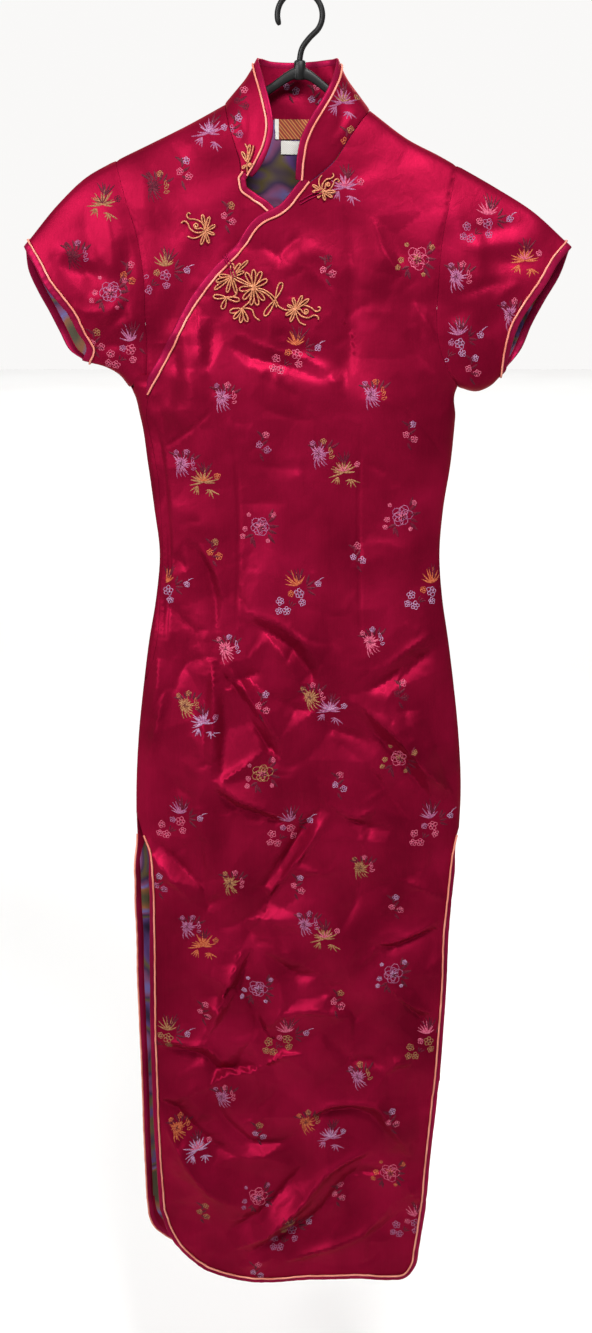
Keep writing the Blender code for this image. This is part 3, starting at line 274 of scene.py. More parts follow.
# A crease is a sharper, narrower ridge (rise > 0) or trough along a curved line.
Crease = namedtuple("Crease", "line width rise")
FRONT_CREASES = [Crease(line, width, rise) for width, rise, *line in [
    (7, 1.8, (-108, -310), (-106, -336), (-104, -372)), (7.5, -1.6, (-93, -323), (-93, -351), (-97, -380)),
    (7, -1.6, (-128, -341), (-131, -362), (-129, -386)),
    (7, -1.5, (-79, -349), (-52, -363), (-15, -372), (27, -386)),
    (6, 1.2, (-63, -342), (-31, -355), (6, -365), (32, -378)),
    (7.5, -1.2, (-40, -381), (-10, -400), (0, -403)),
    (7.5, -1, (-52, -402), (-33, -418), (-5, -427), (17, -430)),
    (7, -1.2, (1, -238), (-18, -256), (-22, -272)), (14, -2, (47, -208), (54, -264), (53, -336), (48, -409)),
    (8, 1.5, (75, -218), (90, -260), (107, -279)), (7, 1.2, (0, -266), (32, -294), (55, -336)),
    (7, -1.2, (-101, -380), (-91, -397), (-76, -403)), (7.5, -1.6, (111, -336), (125, -359), (144, -380)),
    (6, 1.4, (118, -305), (132, -327), (145, -346)), (7.5, -1.4, (-157, -405), (-147, -430), (-150, -463)),
    (7.5, -0.9, (-66, -472), (-32, -480), (4, -482)), (7.5, -1.2, (69, -472), (91, -486), (107, -504)),
    (7.5, -0.8, (-67, -522), (-41, -519), (-15, -520)),
    (7.5, -2.2, (-124, -561), (-102, -594), (-94, -623), (-92, -667)),
    (6, 1.4, (-110, -566), (-90, -600), (-84, -628)), (7, -1.3, (-142, -580), (-133, -586), (-124, -596)),
    (7.5, -1.5, (-164, -616), (-142, -641), (-121, -661), (-106, -673)),
    (7.5, -2, (-70, -650), (-39, -663), (-11, -682), (12, -712), (16, -724)),
    (7, 1.5, (-60, -641), (-27, -652), (5, -675), (25, -700)),
    (7.5, -1.7, (-94, -702), (-75, -724), (-54, -754), (-42, -767)),
    (7, 2, (-82, -700), (-62, -726), (-42, -756), (-24, -788)),
    (7.5, -1.8, (-75, -720), (-59, -716), (-44, -709)), (6, 1.3, (-35, -673), (-17, -693), (0, -723)),
    (6, 1.8, (94, -705), (124, -682), (148, -667)), (7.5, -2, (72, -731), (96, -722), (115, -707)),
    (7.5, -1.6, (103, -730), (127, -705), (153, -684)), (7, -2, (-141, -736), (-128, -705), (-97, -693)),
    (8, 2, (-157, -696), (-160, -730), (-167, -765)),
    (11, 2.0, (-97, -696), (-95, -742), (-97, -782), (-101, -834)),
    (8, -1.2, (-85, -730), (-83, -777), (-89, -830)), (7.5, -1.6, (-105, -690), (-106, -742), (-108, -794)),
    (7, 1.8, (-150, -730), (-163, -782), (-173, -824)),
    (7, -2.4, (-75, -730), (-55, -768), (-35, -798), (-21, -811)),
    (7.5, -2, (-35, -735), (-5, -753), (12, -759)),
    (7.5, -2, (19, -756), (37, -777), (69, -789), (87, -808)),
    (8, 2.8, (68, -747), (105, -779), (138, -819), (176, -858)),
    (7, -2, (58, -756), (92, -791), (122, -828), (154, -867)),
    (7, -1.8, (75, -817), (100, -853), (129, -888)),
    (7, -2.4, (-97, -845), (-72, -869), (-46, -877), (-15, -888)),
    (7, 1.8, (-96, -834), (-67, -858), (-42, -867), (-11, -879)),
    (6, 1.8, (-89, -837), (-61, -817), (-41, -800)),
    (7, -2, (24, -867), (4, -899), (-21, -937), (-42, -967), (-63, -975)),
    (6, 2, (35, -874), (15, -905), (-9, -941), (-32, -972)),
    (7, -1.8, (4, -907), (-36, -986), (-57, -1024), (-72, -1050)),
    (7.5, -1.5, (53, -882), (80, -893), (106, -897)), (7, 1.4, (30, -862), (65, -880), (88, -869)),
    (7.5, -2.2, (-168, -912), (-135, -943), (-113, -967)),
    (7, 1.6, (-171, -927), (-146, -956), (-123, -983)),
    (7, -1.5, (-110, -903), (-111, -964), (-107, -986), (-101, -1000)),
    (7.5, -1.8, (-36, -1005), (-25, -1025), (-16, -1047)),
    (7.5, -1.3, (-42, -1005), (-69, -1012), (-96, -1018)), (7, -1.6, (46, -1022), (65, -981), (70, -956)),
    (7.5, -1.6, (51, -1024), (108, -1042), (164, -1019)), (6, 1.6, (93, -1038), (128, -1028), (162, -1008)),
    (6, 1.5, (114, -956), (145, -970), (172, -986)), (6, 1.2, (1, -934), (26, -946), (49, -941)),
    (7.5, -1.3, (-157, -824), (-139, -847), (-115, -859)),
    (8, 2.5, (-66, -1038), (-82, -1086), (-95, -1121), (-108, -1156)),
    (7, -1.8, (-55, -1043), (-72, -1093), (-86, -1129)),
    (7.5, -2, (-41, -1047), (-18, -1065), (-3, -1077), (23, -1074)),
    (7, -1.8, (27, -1074), (38, -1100), (66, -1130), (85, -1114)),
    (6, 1.8, (-42, -1144), (-24, -1125), (21, -1119), (59, -1128)),
    (7.5, -1.8, (-82, -1088), (-54, -1121), (-44, -1142), (-18, -1170)),
    (7, -2.4, (-169, -1173), (-135, -1175), (-115, -1182), (-96, -1201), (-76, -1199), (-33, -1187)),
    (6, 1.8, (-166, -1160), (-133, -1164), (-110, -1167), (-89, -1188)),
    (7, 2, (-107, -1218), (-89, -1204), (-55, -1196), (-18, -1175), (8, -1175)),
    (7.5, -2.4, (-168, -1239), (-149, -1250), (-129, -1274), (-97, -1303), (-71, -1312)),
    (7, -2.2, (-105, -1227), (-90, -1264), (-55, -1293), (-18, -1293), (8, -1279)),
    (6, 2.4, (-163, -1262), (-137, -1315), (-111, -1353), (-87, -1372)),
    (8, 2.6, (-78, -1434), (-40, -1412), (-3, -1377), (34, -1330), (87, -1303)),
    (8, -2.4, (-60, -1440), (-19, -1417), (13, -1399), (61, -1344), (114, -1330)),
    (8, -2.2, (-90, -1417), (-52, -1391), (-18, -1355), (13, -1315)),
    (7, 2, (-19, -1452), (35, -1434), (77, -1417), (114, -1374)),
    (6, 2.4, (13, -1256), (34, -1242), (60, -1239), (93, -1242), (105, -1262), (120, -1288), (135, -1312)),
    (7.5, -1.8, (8, -1267), (36, -1254), (63, -1251), (86, -1259), (101, -1280)),
    (7, 1.8, (101, -1203), (114, -1187), (133, -1191)), (7, -1.8, (62, -1182), (83, -1186), (100, -1193)),
    (7.5, -1.8, (25, -1147), (60, -1182), (80, -1187)), (6, 1.4, (-24, -1083), (-20, -1107), (-39, -1142)),
    (7, 1.8, (125, -1347), (136, -1361), (146, -1377)), (7.5, -1.6, (88, -1422), (107, -1407), (128, -1386)),
    (7, 1.2, (-75, -1462), (-54, -1454), (-34, -1447)), (7, -1.6, (117, -1106), (141, -1131), (160, -1149)),
    (8, 1.6, (103, -1087), (127, -1111), (155, -1126)),
]]


def smooth(t, ts, vs):
    """Value at t of a smooth curve through (ts, vs), with ts rising; level beyond its ends."""
    ts = np.asarray(ts, float)
    vs = np.asarray(vs, float)
    slopes = np.gradient(vs, ts)
    t = np.clip(np.asarray(t, float), ts[0], ts[-1])
    i = np.clip(np.searchsorted(ts, t) - 1, 0, len(ts) - 2)
    width = ts[i + 1] - ts[i]
    u = (t - ts[i]) / width
    start = (1 + 2 * u) * (1 - u) ** 2 * vs[i] + u * (1 - u) ** 2 * width * slopes[i]
    end = u * u * (3 - 2 * u) * vs[i + 1] + u * u * (u - 1) * width * slopes[i + 1]
    return start + end


def read(table, name, z):
    """One column of a table at height z."""
    rows = table[::-1]
    return smooth(z, [row.z for row in rows], [getattr(row, name) for row in rows])


def distances(points):
    """The distance from each point, or row of points, to the next."""
    return np.linalg.norm(np.diff(points, axis=0), axis=-1)


def running(lengths):
    """The running total of some lengths, from 0."""
    return np.concatenate([[0], np.cumsum(lengths)])


def along(points, shares):
    """Points of the smooth curve through `points`, at shares (0 to 1) of its chord length."""
    points = np.asarray(points, float)
    chord = running(distances(points))
    t = np.asarray(shares) * chord[-1]
    return np.stack([smooth(t, chord, points[:, i]) for i in range(points.shape[1])], axis=1)


def cut(points, step=CLOTH_STEP):
    """A cut line: the smooth curve through `points` as evenly spaced points about `step` apart."""
    points = np.asarray(points, float)
    return along(points, np.linspace(0, 1, max(2, int(round(distances(points).sum() / step)) + 1)))


def joined(*lines):
    """One closed outline from cut lines that meet end to end."""
    points = []
    for line in lines:
        for p in line:
            if not points or np.linalg.norm(np.asarray(p) - points[-1]) > 0.5:
                points.append(np.asarray(p, float))
    if np.linalg.norm(points[0] - points[-1]) < 0.5:
        points.pop()
    return np.array(points)


def ease(t):
    """0 below 0 and 1 above 1, with a smooth rise between."""
    t = np.clip(t, 0, 1)
    return t * t * (3 - 2 * t)


def unit(vectors):
    return vectors / np.maximum(np.linalg.norm(vectors, axis=-1, keepdims=True), 1e-9)


def near_line(line, points):
    """Distance of each point from an open line, and its place along it from 0 to 1."""
    line = np.asarray(line, float)
    runs = np.diff(line, axis=0)
    lengths = np.maximum(np.linalg.norm(runs, axis=1), 1e-9)
    starts = running(lengths)
    best = np.full(len(points), 1e9)
    share = np.zeros(len(points))
    for origin, run, length, start in zip(line, runs, lengths, starts):
        t = np.clip((points - origin) @ run / length**2, 0, 1)
        away = np.hypot(points[:, 0] - origin[0] - t * run[0], points[:, 1] - origin[1] - t * run[1])
        nearer = away < best
        best = np.where(nearer, away, best)
        share = np.where(nearer, (start + t * length) / starts[-1], share)
    return best, share


def creased(x, z, creases):
    """How far the creases lift the cloth: sharper than a soft fold, and fading out at both ends."""
    x, z = np.broadcast_arrays(x, z)
    points = np.stack([x.ravel(), z.ravel()], axis=1)
    lift = np.zeros(len(points))
    for crease in creases:
        line = np.asarray(crease.line, float)
        reach = CREASE_REACH * crease.width
        low, high = line.min(axis=0) - reach, line.max(axis=0) + reach
        chosen = np.nonzero(((points > low) & (points < high)).all(axis=1))[0]
        if len(chosen):
            fine = along(line, np.linspace(0, 1, 3 * len(line))) if len(line) > 2 else line
            away, share = near_line(fine, points[chosen])
            fade = 1 - np.abs(2 * share - 1) ** 3
            lift[chosen] += CREASE_HEIGHT * crease.rise * fade * np.exp(-((1.2 * away / crease.width) ** 1.6))
    return lift.reshape(x.shape)


def crease_net(creases, spacing, seed):
    """Flat facets between the creases, whose edges join the creases up as in crumpled cloth."""
    dice = np.random.default_rng(seed)
    points, heights, edges = [], [], []
    for crease in creases:
        start, count = len(points), len(crease.line)
        points += [Vector(p) for p in crease.line]
        heights += [crease.rise * (0.25 if i in (0, count - 1) else 1.0) for i in range(count)]
        edges += [(start + i, start + i + 1) for i in range(count - 1)]
    placed = np.array([tuple(p) for p in points])
    left, right, bottom, top = NET_BOX
    for row, z in enumerate(np.arange(bottom, top, ROW_PITCH * spacing)):
        for x in np.arange(left + spacing * 0.5 * (row % 2), right, spacing):
            spot = np.array([x, z]) + dice.uniform(-0.3, 0.3, 2) * spacing
            if np.hypot(*(placed - spot).T).min() > 0.45 * spacing:
                points.append(Vector(spot))
                heights.append(float(np.clip(dice.normal(0, 0.8), -1.5, 1.5)))
    verts, _, faces, origins, _, _ = delaunay_2d_cdt(points, edges, [], 0, 1e-3)
    lifts = [np.mean([heights[i] for i in origin]) if origin else 0.5 for origin in origins]
    return BVHTree.FromPolygons([(v[0], lift, v[1]) for v, lift in zip(verts, lifts)], faces)


def net_lift(net, x, z):
    """The height of a crease net at (x, z), which is stronger in the skirt than above it."""
    x, z = np.broadcast_arrays(x, z)
    hits = [net.ray_cast(Vector((a, -100, b)), Vector((0, 1, 0)))[0] for a, b in zip(x.ravel(), z.ravel())]
    lift = np.array([0.0 if hit is None else hit.y for hit in hits]).reshape(x.shape)
    grown = ease((NET_GROWS_BELOW - z) / NET_GROWS_OVER)
    return lift * (NET_HEIGHT_TOP + (NET_HEIGHT - NET_HEIGHT_TOP) * grown)


def crumples(seed, count, box, slant):
    """Short shallow dents where the cloth was packed, scattered over a box, most of them slanting."""
    dice = np.random.default_rng(seed)
    made = []
    for _ in range(count):
        x, z = dice.uniform(box[0], box[1]), dice.uniform(box[2], box[3])
        turn = dice.normal(slant, 0.7)
        reach = dice.uniform(8, 26)
        bow = dice.normal(0, 4)
        dx, dz = reach * math.cos(turn), reach * math.sin(turn)
        line = [(x - dx, z - dz), (x - dz * bow / reach, z + dx * bow / reach), (x + dx, z + dz)]
        made.append(Crease(line, dice.uniform(4.0, 7.5), dice.uniform(-0.95, 0.8)))
    return made


def relief(x, z, folds):
    """How far the soft folds lift the cloth at (x, z)."""
    lift = np.zeros(np.broadcast(x, z).shape)
    for fold in folds:
        dx, dz = fold.x1 - fold.x0, fold.z1 - fold.z0
        length = math.hypot(dx, dz)
        t = ((x - fold.x0) * dx + (z - fold.z0) * dz) / length**2
        away = ((x - fold.x0) * dz - (z - fold.z0) * dx) / length
        fade = np.clip(1 - (2 * t - 1) ** 4, 0, 1) * (np.abs(2 * t - 1) < 1)
        lift = lift + fold.rise * fade * np.exp(-((away / fold.width) ** 2))
    return lift


def roll_over_shoulder(x, z):
    """0 on the shoulder line, 1 where the cloth hangs at its full depth."""
    line = smooth(x, [p[0] for p in SHOULDER_LINE], [p[1] for p in SHOULDER_LINE])
    t = np.clip((line - z) / SHOULDER_ROLL, 0, 1)
    return np.sqrt(1 - (1 - t) ** 2)


def across(x, z, left, right):
    """0 at the side seams and 1 in the middle; below the slits the edges stand off as well."""
    s = np.clip(np.abs((x - (left + right) / 2) / ((right - left) / 2)), 0, 1)
    closed = (1 - s**2.4) ** 0.55
    hanging = 0.5 + 0.5 * np.sqrt(np.clip(1 - s**2, 0, 1))
    opened = ease((SLIT_TOP_Z - z) / SKIRT_OPENS_OVER)
    return closed * (1 - opened) + hanging * opened


def stand_off(x, z, side, folds, creases, net):
    """Distance of the panel's outer face from the middle plane."""
    opened = ease((SLIT_TOP_Z - z) / SKIRT_OPENS_OVER)
    left = read(LEVELS, "left", z)
    right = read(LEVELS, "right", z)
    shape = across(x, z, left, right) * roll_over_shoulder(x, z)
    loose = np.clip(shape * 2.2 - 0.15, 0, 1) * (1 - opened) + opened
    lifted = relief(x, z, folds) + creased(x, z, creases) + net_lift(net, x, z)
    return SEAM_EDGE + read(LEVELS, side, z) * shape + lifted * loose


front_net = crease_net(FRONT_CREASES, NET_SPACING, seed=7)


def front_y(x, z):
    """Where the front panel's outer face lies, rounded out over the bust."""
    x, z = np.asarray(x, float), np.asarray(z, float)
    fullness = sum(
        BUST_FULLNESS * np.exp(-(((x - bx) ** 2 + (z - bz) ** 2) / BUST_RADIUS**2)) for bx, bz in BUST_POINTS
    )
    near_side = across(x, z, read(LEVELS, "left", z), read(LEVELS, "right", z))
    folded = stand_off(x, z, "front", FRONT_FOLDS, FRONT_CREASES, front_net)
    return -(folded + fullness * np.clip(near_side * 2 - 0.4, 0, 1))


def lay(surface, flat):
    """Points of a flat pattern (x, z) on a surface, and the surface's outward normals there."""
    flat = np.asarray(flat, float)
    x, z = flat[:, 0], flat[:, 1]
    h = 1.0
    y = surface(x, z)
    slope_x = (surface(x + h, z) - surface(x - h, z)) / (2 * h)
    slope_z = (surface(x, z + h) - surface(x, z - h)) / (2 * h)
    facing = -1 if surface is front_y else 1
    normals = unit(np.stack([-slope_x, np.ones_like(x), -slope_z], axis=1)) * facing
    return np.stack([x, y, z], axis=1), normals


def enclosed(outline, points):
    """Which points lie in a closed outline."""
    inside = np.zeros(len(points), bool)
    for (x0, z0), (x1, z1) in zip(outline, np.roll(outline, -1, axis=0)):
        if z0 != z1:
            spans = (z0 > points[:, 1]) != (z1 > points[:, 1])
            inside ^= spans & (points[:, 0] < (x1 - x0) * (points[:, 1] - z0) / (z1 - z0) + x0)
    return inside


def fill(outline, step=CLOTH_STEP, lines=()):
    """Triangles that fill a closed outline, with each of `lines` kept as a row of edges."""
    low, high = outline.min(axis=0), outline.max(axis=0)
    rows = []
    for number, z in enumerate(np.arange(low[1] + step / 2, high[1], ROW_PITCH * step)):
        xs = np.arange(low[0] + step * (0.3 + 0.5 * (number % 2)), high[0], step)
        rows.append(np.stack([xs, np.full_like(xs, z)], axis=1))
    grid = np.vstack(rows)
    grid = grid[enclosed(outline, grid)]
    grid = grid[near_line(np.vstack([outline, outline[:1]]), grid)[0] > 0.5 * step]
    points, edges = [Vector(p) for p in outline], []
    for line in lines:
        grid = grid[near_line(line, grid)[0] > 0.45 * step]
        edges += [(len(points) + i, len(points) + i + 1) for i in range(len(line) - 1)]
        points += [Vector(p) for p in line]
    points += [Vector(p) for p in grid]
    verts, _, faces, *_ = delaunay_2d_cdt(points, edges, [list(range(len(outline)))], 1, 1e-3)
    return np.array([tuple(v) for v in verts]), [list(face) for face in faces]


def made_piece(name, points, faces, finish, smooth_below=40, walls=0, facing=None):
    """A closed mesh piece from points in millimetres, which rides on the dress's one body. The corners
    of its first `walls` faces take their normals from `facing`, one for each point."""
    mesh = bpy.data.meshes.new(name)
    mesh.from_pydata((np.asarray(points) * MM).tolist(), [], faces)
    shape = bmesh.new()
    shape.from_mesh(mesh)
    bmesh.ops.recalc_face_normals(shape, faces=shape.faces)
    shape.to_mesh(mesh)
    shape.free()
    mesh.materials.append(finish)
    mesh.shade_smooth()
    mesh.set_sharp_from_angle(angle=math.radians(smooth_below))
    if walls:
        corners = np.empty(len(mesh.loops), int)
        mesh.loops.foreach_get("vertex_index", corners)
        shading = facing[corners]
        shading[mesh.polygons[walls].loop_start:] = 0
        mesh.normals_split_custom_set(shading.tolist())
    made = bpy.data.objects.new(name, mesh)
    bpy.context.scene.collection.objects.link(made)
    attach(made, "root")
    return made


def cloth(name, flat, faces, surface, finish, wall=WALL, sunk=None, seams=()):
    """A cloth wall: a flat cut laid on the surface, or `sunk` below it, drawn in along its seams."""
    def depth(points):
        deep = np.zeros(len(points)) if sunk is None else np.broadcast_to(sunk(points), len(points))
        away = [near_line(seam, points)[0] for seam in seams]
        return deep + sum(SEAM_DIP * np.exp(-((each / SEAM_REACH) ** 2)) for each in away)

    on_surface, normals = lay(surface, flat)
    outer = on_surface - normals * depth(flat)[:, None]
    inner = outer - normals * wall
    count = len(outer)
    sides = {(a, b) for face in faces for a, b in zip(face, face[1:] + face[:1])}
    rim = [(a, b) for a, b in sorted(sides) if (b, a) not in sides]
    walls = faces + [[i + count for i in face[::-1]] for face in faces]
    both_walls = len(walls)
    walls += [[b, a, a + count, b + count] for a, b in rim]
    out = np.sign(normals[0, 1])
    steep = -normals / normals[:, 1:2] * out
    steps = ([1.0, 0.0], [0.0, 1.0])
    sharp = np.stack([(depth(flat + step) - depth(flat - step)) / 2 for step in steps], axis=1)
    skin = unit(np.stack([sharp[:, 0] - steep[:, 0], np.full(count, out), sharp[:, 1] - steep[:, 2]], axis=1))
    return made_piece(name, np.vstack([outer, inner]), walls, finish, walls=both_walls,
                      facing=np.vstack([skin, -skin]))


def side_line(name, top, bottom):
    """A side of the dress from the table of levels, between two heights."""
    zs = np.linspace(top, bottom, max(2, int(abs(top - bottom) / CLOTH_STEP)))
    return np.stack([read(LEVELS, name, zs), zs], axis=1)


def slit_line(name):
    """One panel's edge along a slit, from the table of slits."""
    zs = np.linspace(SLIT_TOP_Z, SLITS[-1].z, int((SLIT_TOP_Z - SLITS[-1].z) / CLOTH_STEP))
    return np.stack([read(SLITS, name, zs), zs], axis=1)


def shoulder(start, end):
    """The shoulder seam between two points of the shoulder line."""
    xs = np.linspace(start[0], end[0], max(2, int(abs(end[0] - start[0]) / CLOTH_STEP)))
    zs = smooth(xs, [p[0] for p in SHOULDER_LINE], [p[1] for p in SHOULDER_LINE])
    zs[0], zs[-1] = start[1], end[1]
    return np.stack([xs, zs], axis=1)


def beside(line, offset):
    """A line kept at an even distance beside another."""
    run = unit(np.gradient(np.asarray(line, float), axis=0))
    return line + np.stack([run[:, 1], -run[:, 0]], axis=1) * offset


overlap_cut = cut(OVERLAP)
placket_cut = cut(PLACKET_LINE)
front_neck_cut = cut(FRONT_NECK)
front_hem_cut = cut(FRONT_HEM)
armhole_left_cut = cut(ARMHOLE_LEFT)
front_slit_right_cut = slit_line("front_left")
front_slit_left_cut = slit_line("front_right")
left_side_seam = side_line("right", UNDERARM_Z, SLIT_TOP_Z + 8)
right_side_seam = side_line("left", -722, SLIT_TOP_Z + 25)
left_shoulder_seam = shoulder(NECK_LEFT, TIP_LEFT)
front_outline = joined(
    overlap_cut, placket_cut, cut(PLACKET_FOOT), right_side_seam[1:], front_slit_right_cut, front_hem_cut,
    front_slit_left_cut[::-1], left_side_seam[::-1], armhole_left_cut[::-1], left_shoulder_seam[::-1],
    front_neck_cut,
)

# Bust darts point up from the side seams, waist darts run from bust to hip. Each is stitched shut from
# the inside, so that only its line shows, as a fine groove.
DARTS = [
    [(-150, -464), (-130, -450), (-110, -434), (-93, -417)],
    [(158, -474), (139, -446), (121, -426), (90, -400)],
    [(-72, -442), (-67, -496), (-66, -580), (-71, -668)],
    [(66, -431), (64, -500), (65, -580), (68, -684)],
]
ZIP_STITCHING = [
    [(-162, -422), (-155, -462), (-151, -493), (-149, -525), (-148, -575), (-151, -625), (-154, -670),
     (-153, -694)],
    [(-157, -432), (-150, -465), (-146, -500), (-144, -540), (-143, -580), (-146, -625), (-149, -672)],
]
FRONT_CREASES += [Crease(line, 2.0, -1.1) for line in DARTS]
FRONT_CREASES += [Crease(line, 2.6, -1.7) for line in ZIP_STITCHING]
FRONT_CREASES += crumples(seed=11, count=200, box=(-150, 150, -1460, -880), slant=0.5)
FRONT_CREASES += crumples(seed=12, count=100, box=(-140, 140, -880, -640), slant=-0.6)
FRONT_CREASES += crumples(seed=13, count=110, box=(-135, 135, -640, -250), slant=-0.35)

# Silk-like polyester satin: the warp threads lie on top, so the gloss is broad, coloured by the dye
# and drawn out down the cloth. Real warp threads are 0.1 mm apart; their streaks are drawn 1.5 mm
# wide to show at all.
WARP_STREAK = (0.0015, 0.0015, 0.06)


def satin(name, dark, middle, light, roughness, gloss_metal):
    """Dyed satin with warp streaks, cloudy dye, and fine crumples in its surface."""
    made, tree, shader = new_material(
        name, Roughness=roughness, Metallic=gloss_metal, Specular_IOR_Level=0.12,
        Specular_Tint=linear("#FF4A6A"), Sheen_Weight=0.06, Sheen_Roughness=0.4, Sheen_Tint=linear("#FF3C5C"))
    place = node(tree, "ShaderNodeTexCoord").outputs["Object"]
    drawn_out = node(tree, "ShaderNodeMapping", {"Scale": [1 / size for size in WARP_STREAK]},
                     {"Vector": place}).outputs[0]
    streaks = node(tree, "ShaderNodeTexNoise", {"Scale": 1.0, "Detail": 2.0}, {"Vector": drawn_out})
    mixed = node(tree, "ShaderNodeMix", {"data_type": "FLOAT", 0: 0.85},
                 {2: streaks.outputs["Fac"], 3: noise(tree, 0.07, 3.0)})
    coloured(tree, shader, mixed.outputs[0], [(0.3, dark), (0.5, middle), (0.72, light)])
    packed = noise(tree, 0.07, 3.5, noise_type="RIDGED_MULTIFRACTAL", Roughness=0.45, Distortion=0.4)
    height = node(tree, "ShaderNodeSeparateXYZ", {}, {0: place}).outputs["Z"]
    lower = node(tree, "ShaderNodeMapRange",
                 {"From Min": -0.55, "From Max": -0.9, "To Min": 0.9, "To Max": 1.0}, {"Value": height})
    folds = node(tree, "ShaderNodeBump", {"Distance": 0.006},
                 {"Height": packed, "Strength": lower.outputs["Result"]})
    puckers = node(tree, "ShaderNodeBump", {"Strength": 0.35, "Distance": 0.0009},
                   {"Height": noise(tree, 0.011, 3.0, Distortion=0.6), "Normal": folds.outputs["Normal"]})
    threads = node(tree, "ShaderNodeBump", {"Strength": 0.1, "Distance": 0.00012},
                   {"Height": streaks.outputs["Fac"], "Normal": puckers.outputs["Normal"]})
    tree.links.new(threads.outputs["Normal"], shader.inputs["Normal"])
    return made


red_satin = satin("dyed red polyester satin", "#680721", "#790A28", "#8A0D30",
                  roughness=0.46, gloss_metal=0.55)

# Rows of mesh edges along and beside each stitched line keep its groove sharp.
dart_rows = [beside(cut(line), offset) for line in DARTS + ZIP_STITCHING[1:] for offset in (-2.2, 0.0, 2.2)]
front_flat, front_faces = fill(front_outline, CLOTH_STEP, dart_rows)
front = cloth("front_satin", front_flat, front_faces, front_y, red_satin,
              seams=[left_side_seam, armhole_left_cut, left_shoulder_seam, right_side_seam, placket_cut,
                     cut(ZIP_STITCHING[1])])
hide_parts("front_panel")


# ---------------------------------------------------------------- underlap
# The right shoulder and chest, a shaped piece of the same satin that lies behind the overlap and
# carries the right half of the neck. It is sewn in at the shoulder and the armhole.

NECK_RIGHT = (-78, -107)
TIP_RIGHT = (-192, -163)
UNDERLAP_NECK = [NECK_RIGHT, (-73, -130), (-67, -149), (-62, -167), (-62, -181)]
UNDERLAP_NECK_EDGE = [(-62, -181), (-60, -192), (-50, -200), (-38, -208), (-28, -218)]
UNDERLAP_HIDDEN = [(-28, -218), (-26, -246), (-60, -290), (-96, -340), (-125, -384), (-148, -398)]
ARMHOLE_RIGHT = [
    TIP_RIGHT, (-183, -197), (-170, -240), (-164, -279), (-163, -318), (-163, -368), (-165, -386),
]
UNDERLAP_GAP = 1.5  # between the overlap and the underlap behind it


def under_overlap(flat):
    """How far the underlap lies behind the overlap's face; flush with it near shoulder and neck."""
    flat = np.asarray(flat, float)
    line = overlap_cut[::-1]
    edge = np.interp(flat[:, 0], line[:, 0], line[:, 1])
    return (WALL + UNDERLAP_GAP) * ease((edge + 80 - flat[:, 1]) / 52)


underlap_neck_cut = cut(UNDERLAP_NECK)
underlap_edge_cut = cut(UNDERLAP_NECK_EDGE)
armhole_right_cut = cut(ARMHOLE_RIGHT)
right_shoulder_seam = shoulder(TIP_RIGHT, NECK_RIGHT)
underlap_outline = joined(
    underlap_neck_cut, underlap_edge_cut, cut(UNDERLAP_HIDDEN), armhole_right_cut[::-1], right_shoulder_seam)
underlap_flat, underlap_faces = fill(underlap_outline)
underlap = cloth("underlap_satin", underlap_flat, underlap_faces, front_y, red_satin,
                 sunk=under_overlap, seams=[armhole_right_cut, right_shoulder_seam])
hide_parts("front_underlap")


# ---------------------------------------------------------------- back panel
# The whole back in one piece of the same satin, joined to the front at the shoulders and the sides.
# It hangs free below the slits, and its folds are like those of the front.

BACK_NECK = [NECK_RIGHT, (-62, -117), (-32, -123), (0, -124), (32, -124), (58, -122), NECK_LEFT]
BACK_ARMHOLE_RIGHT = [TIP_RIGHT, (-180, -200), (-170, -250), (-166, -300), (-168, -350), (-183, UNDERARM_Z)]
BACK_ARMHOLE_LEFT = [TIP_LEFT, (156, -204), (150, -250), (147, -300), (152, -350), (171, UNDERARM_Z)]
BACK_HEM = [
    (-182, -1385), (-176, -1420), (-155, -1441), (-120, -1457), (-60, -1468), (0, -1470), (60, -1468),
    (105, -1459), (132, -1440), (141, -1415), (143, -1385),
]
BACK_FOLDS = [Fold(*row) for row in [
    (-90, -200, -60, -420, 24, 5), (80, -220, 60, -430, 24, 5), (-140, -400, -40, -520, 20, -4),
    (130, -410, 30, -540, 20, -4), (-130, -560, 100, -600, 22, 4), (-70, -640, -100, -900, 24, 5),
    (60, -660, 90, -930, 24, -4), (-20, -760, 10, -1120, 28, 6), (-120, -960, -90, -1400, 28, -4),
    (90, -1000, 100, -1420, 28, 7), (20, -1180, 30, -1460, 28, -4), (-50, -1220, -40, -1460, 26, 6),
]]
SHARED_CREASES = 86  # of the front's, which show at the back too, mirrored and a little lower
BACK_CREASES = [
    Crease([(20 - x, z - 14) for x, z in crease.line], crease.width * 1.1, crease.rise)
    for crease in FRONT_CREASES[:SHARED_CREASES] if crease.line[0][1] < -400
]
BACK_CREASES += [
    Crease([(-60, -170), (-66, -240), (-58, -320)], 12, 1.8),
    Crease([(48, -170), (58, -250), (50, -330)], 12, -1.8),
    Crease([(-120, -250), (-60, -300), (10, -318)], 8, -1.4),
    Crease([(110, -290), (50, -330), (-20, -345)], 8, 1.4),
    Crease([(-130, -380), (-70, -350), (0, -372), (60, -356)], 7, -1.4),
]
back_net = crease_net(BACK_CREASES, NET_SPACING, seed=8)
BACK_CREASES += crumples(seed=21, count=200, box=(-150, 150, -1440, -200), slant=0.3)


def back_y(x, z):
    """Where the back panel's outer face lies, turned in beside the right slit's top."""
    x, z = np.asarray(x, float), np.asarray(z, float)
    turned = 7.0 * ease((-130 - x) / 50) * ease((SLIT_TOP_Z + 30 - z) / 40) * ease((z + 1060) / 110)
    return stand_off(x, z, "back", BACK_FOLDS, BACK_CREASES, back_net) - turned


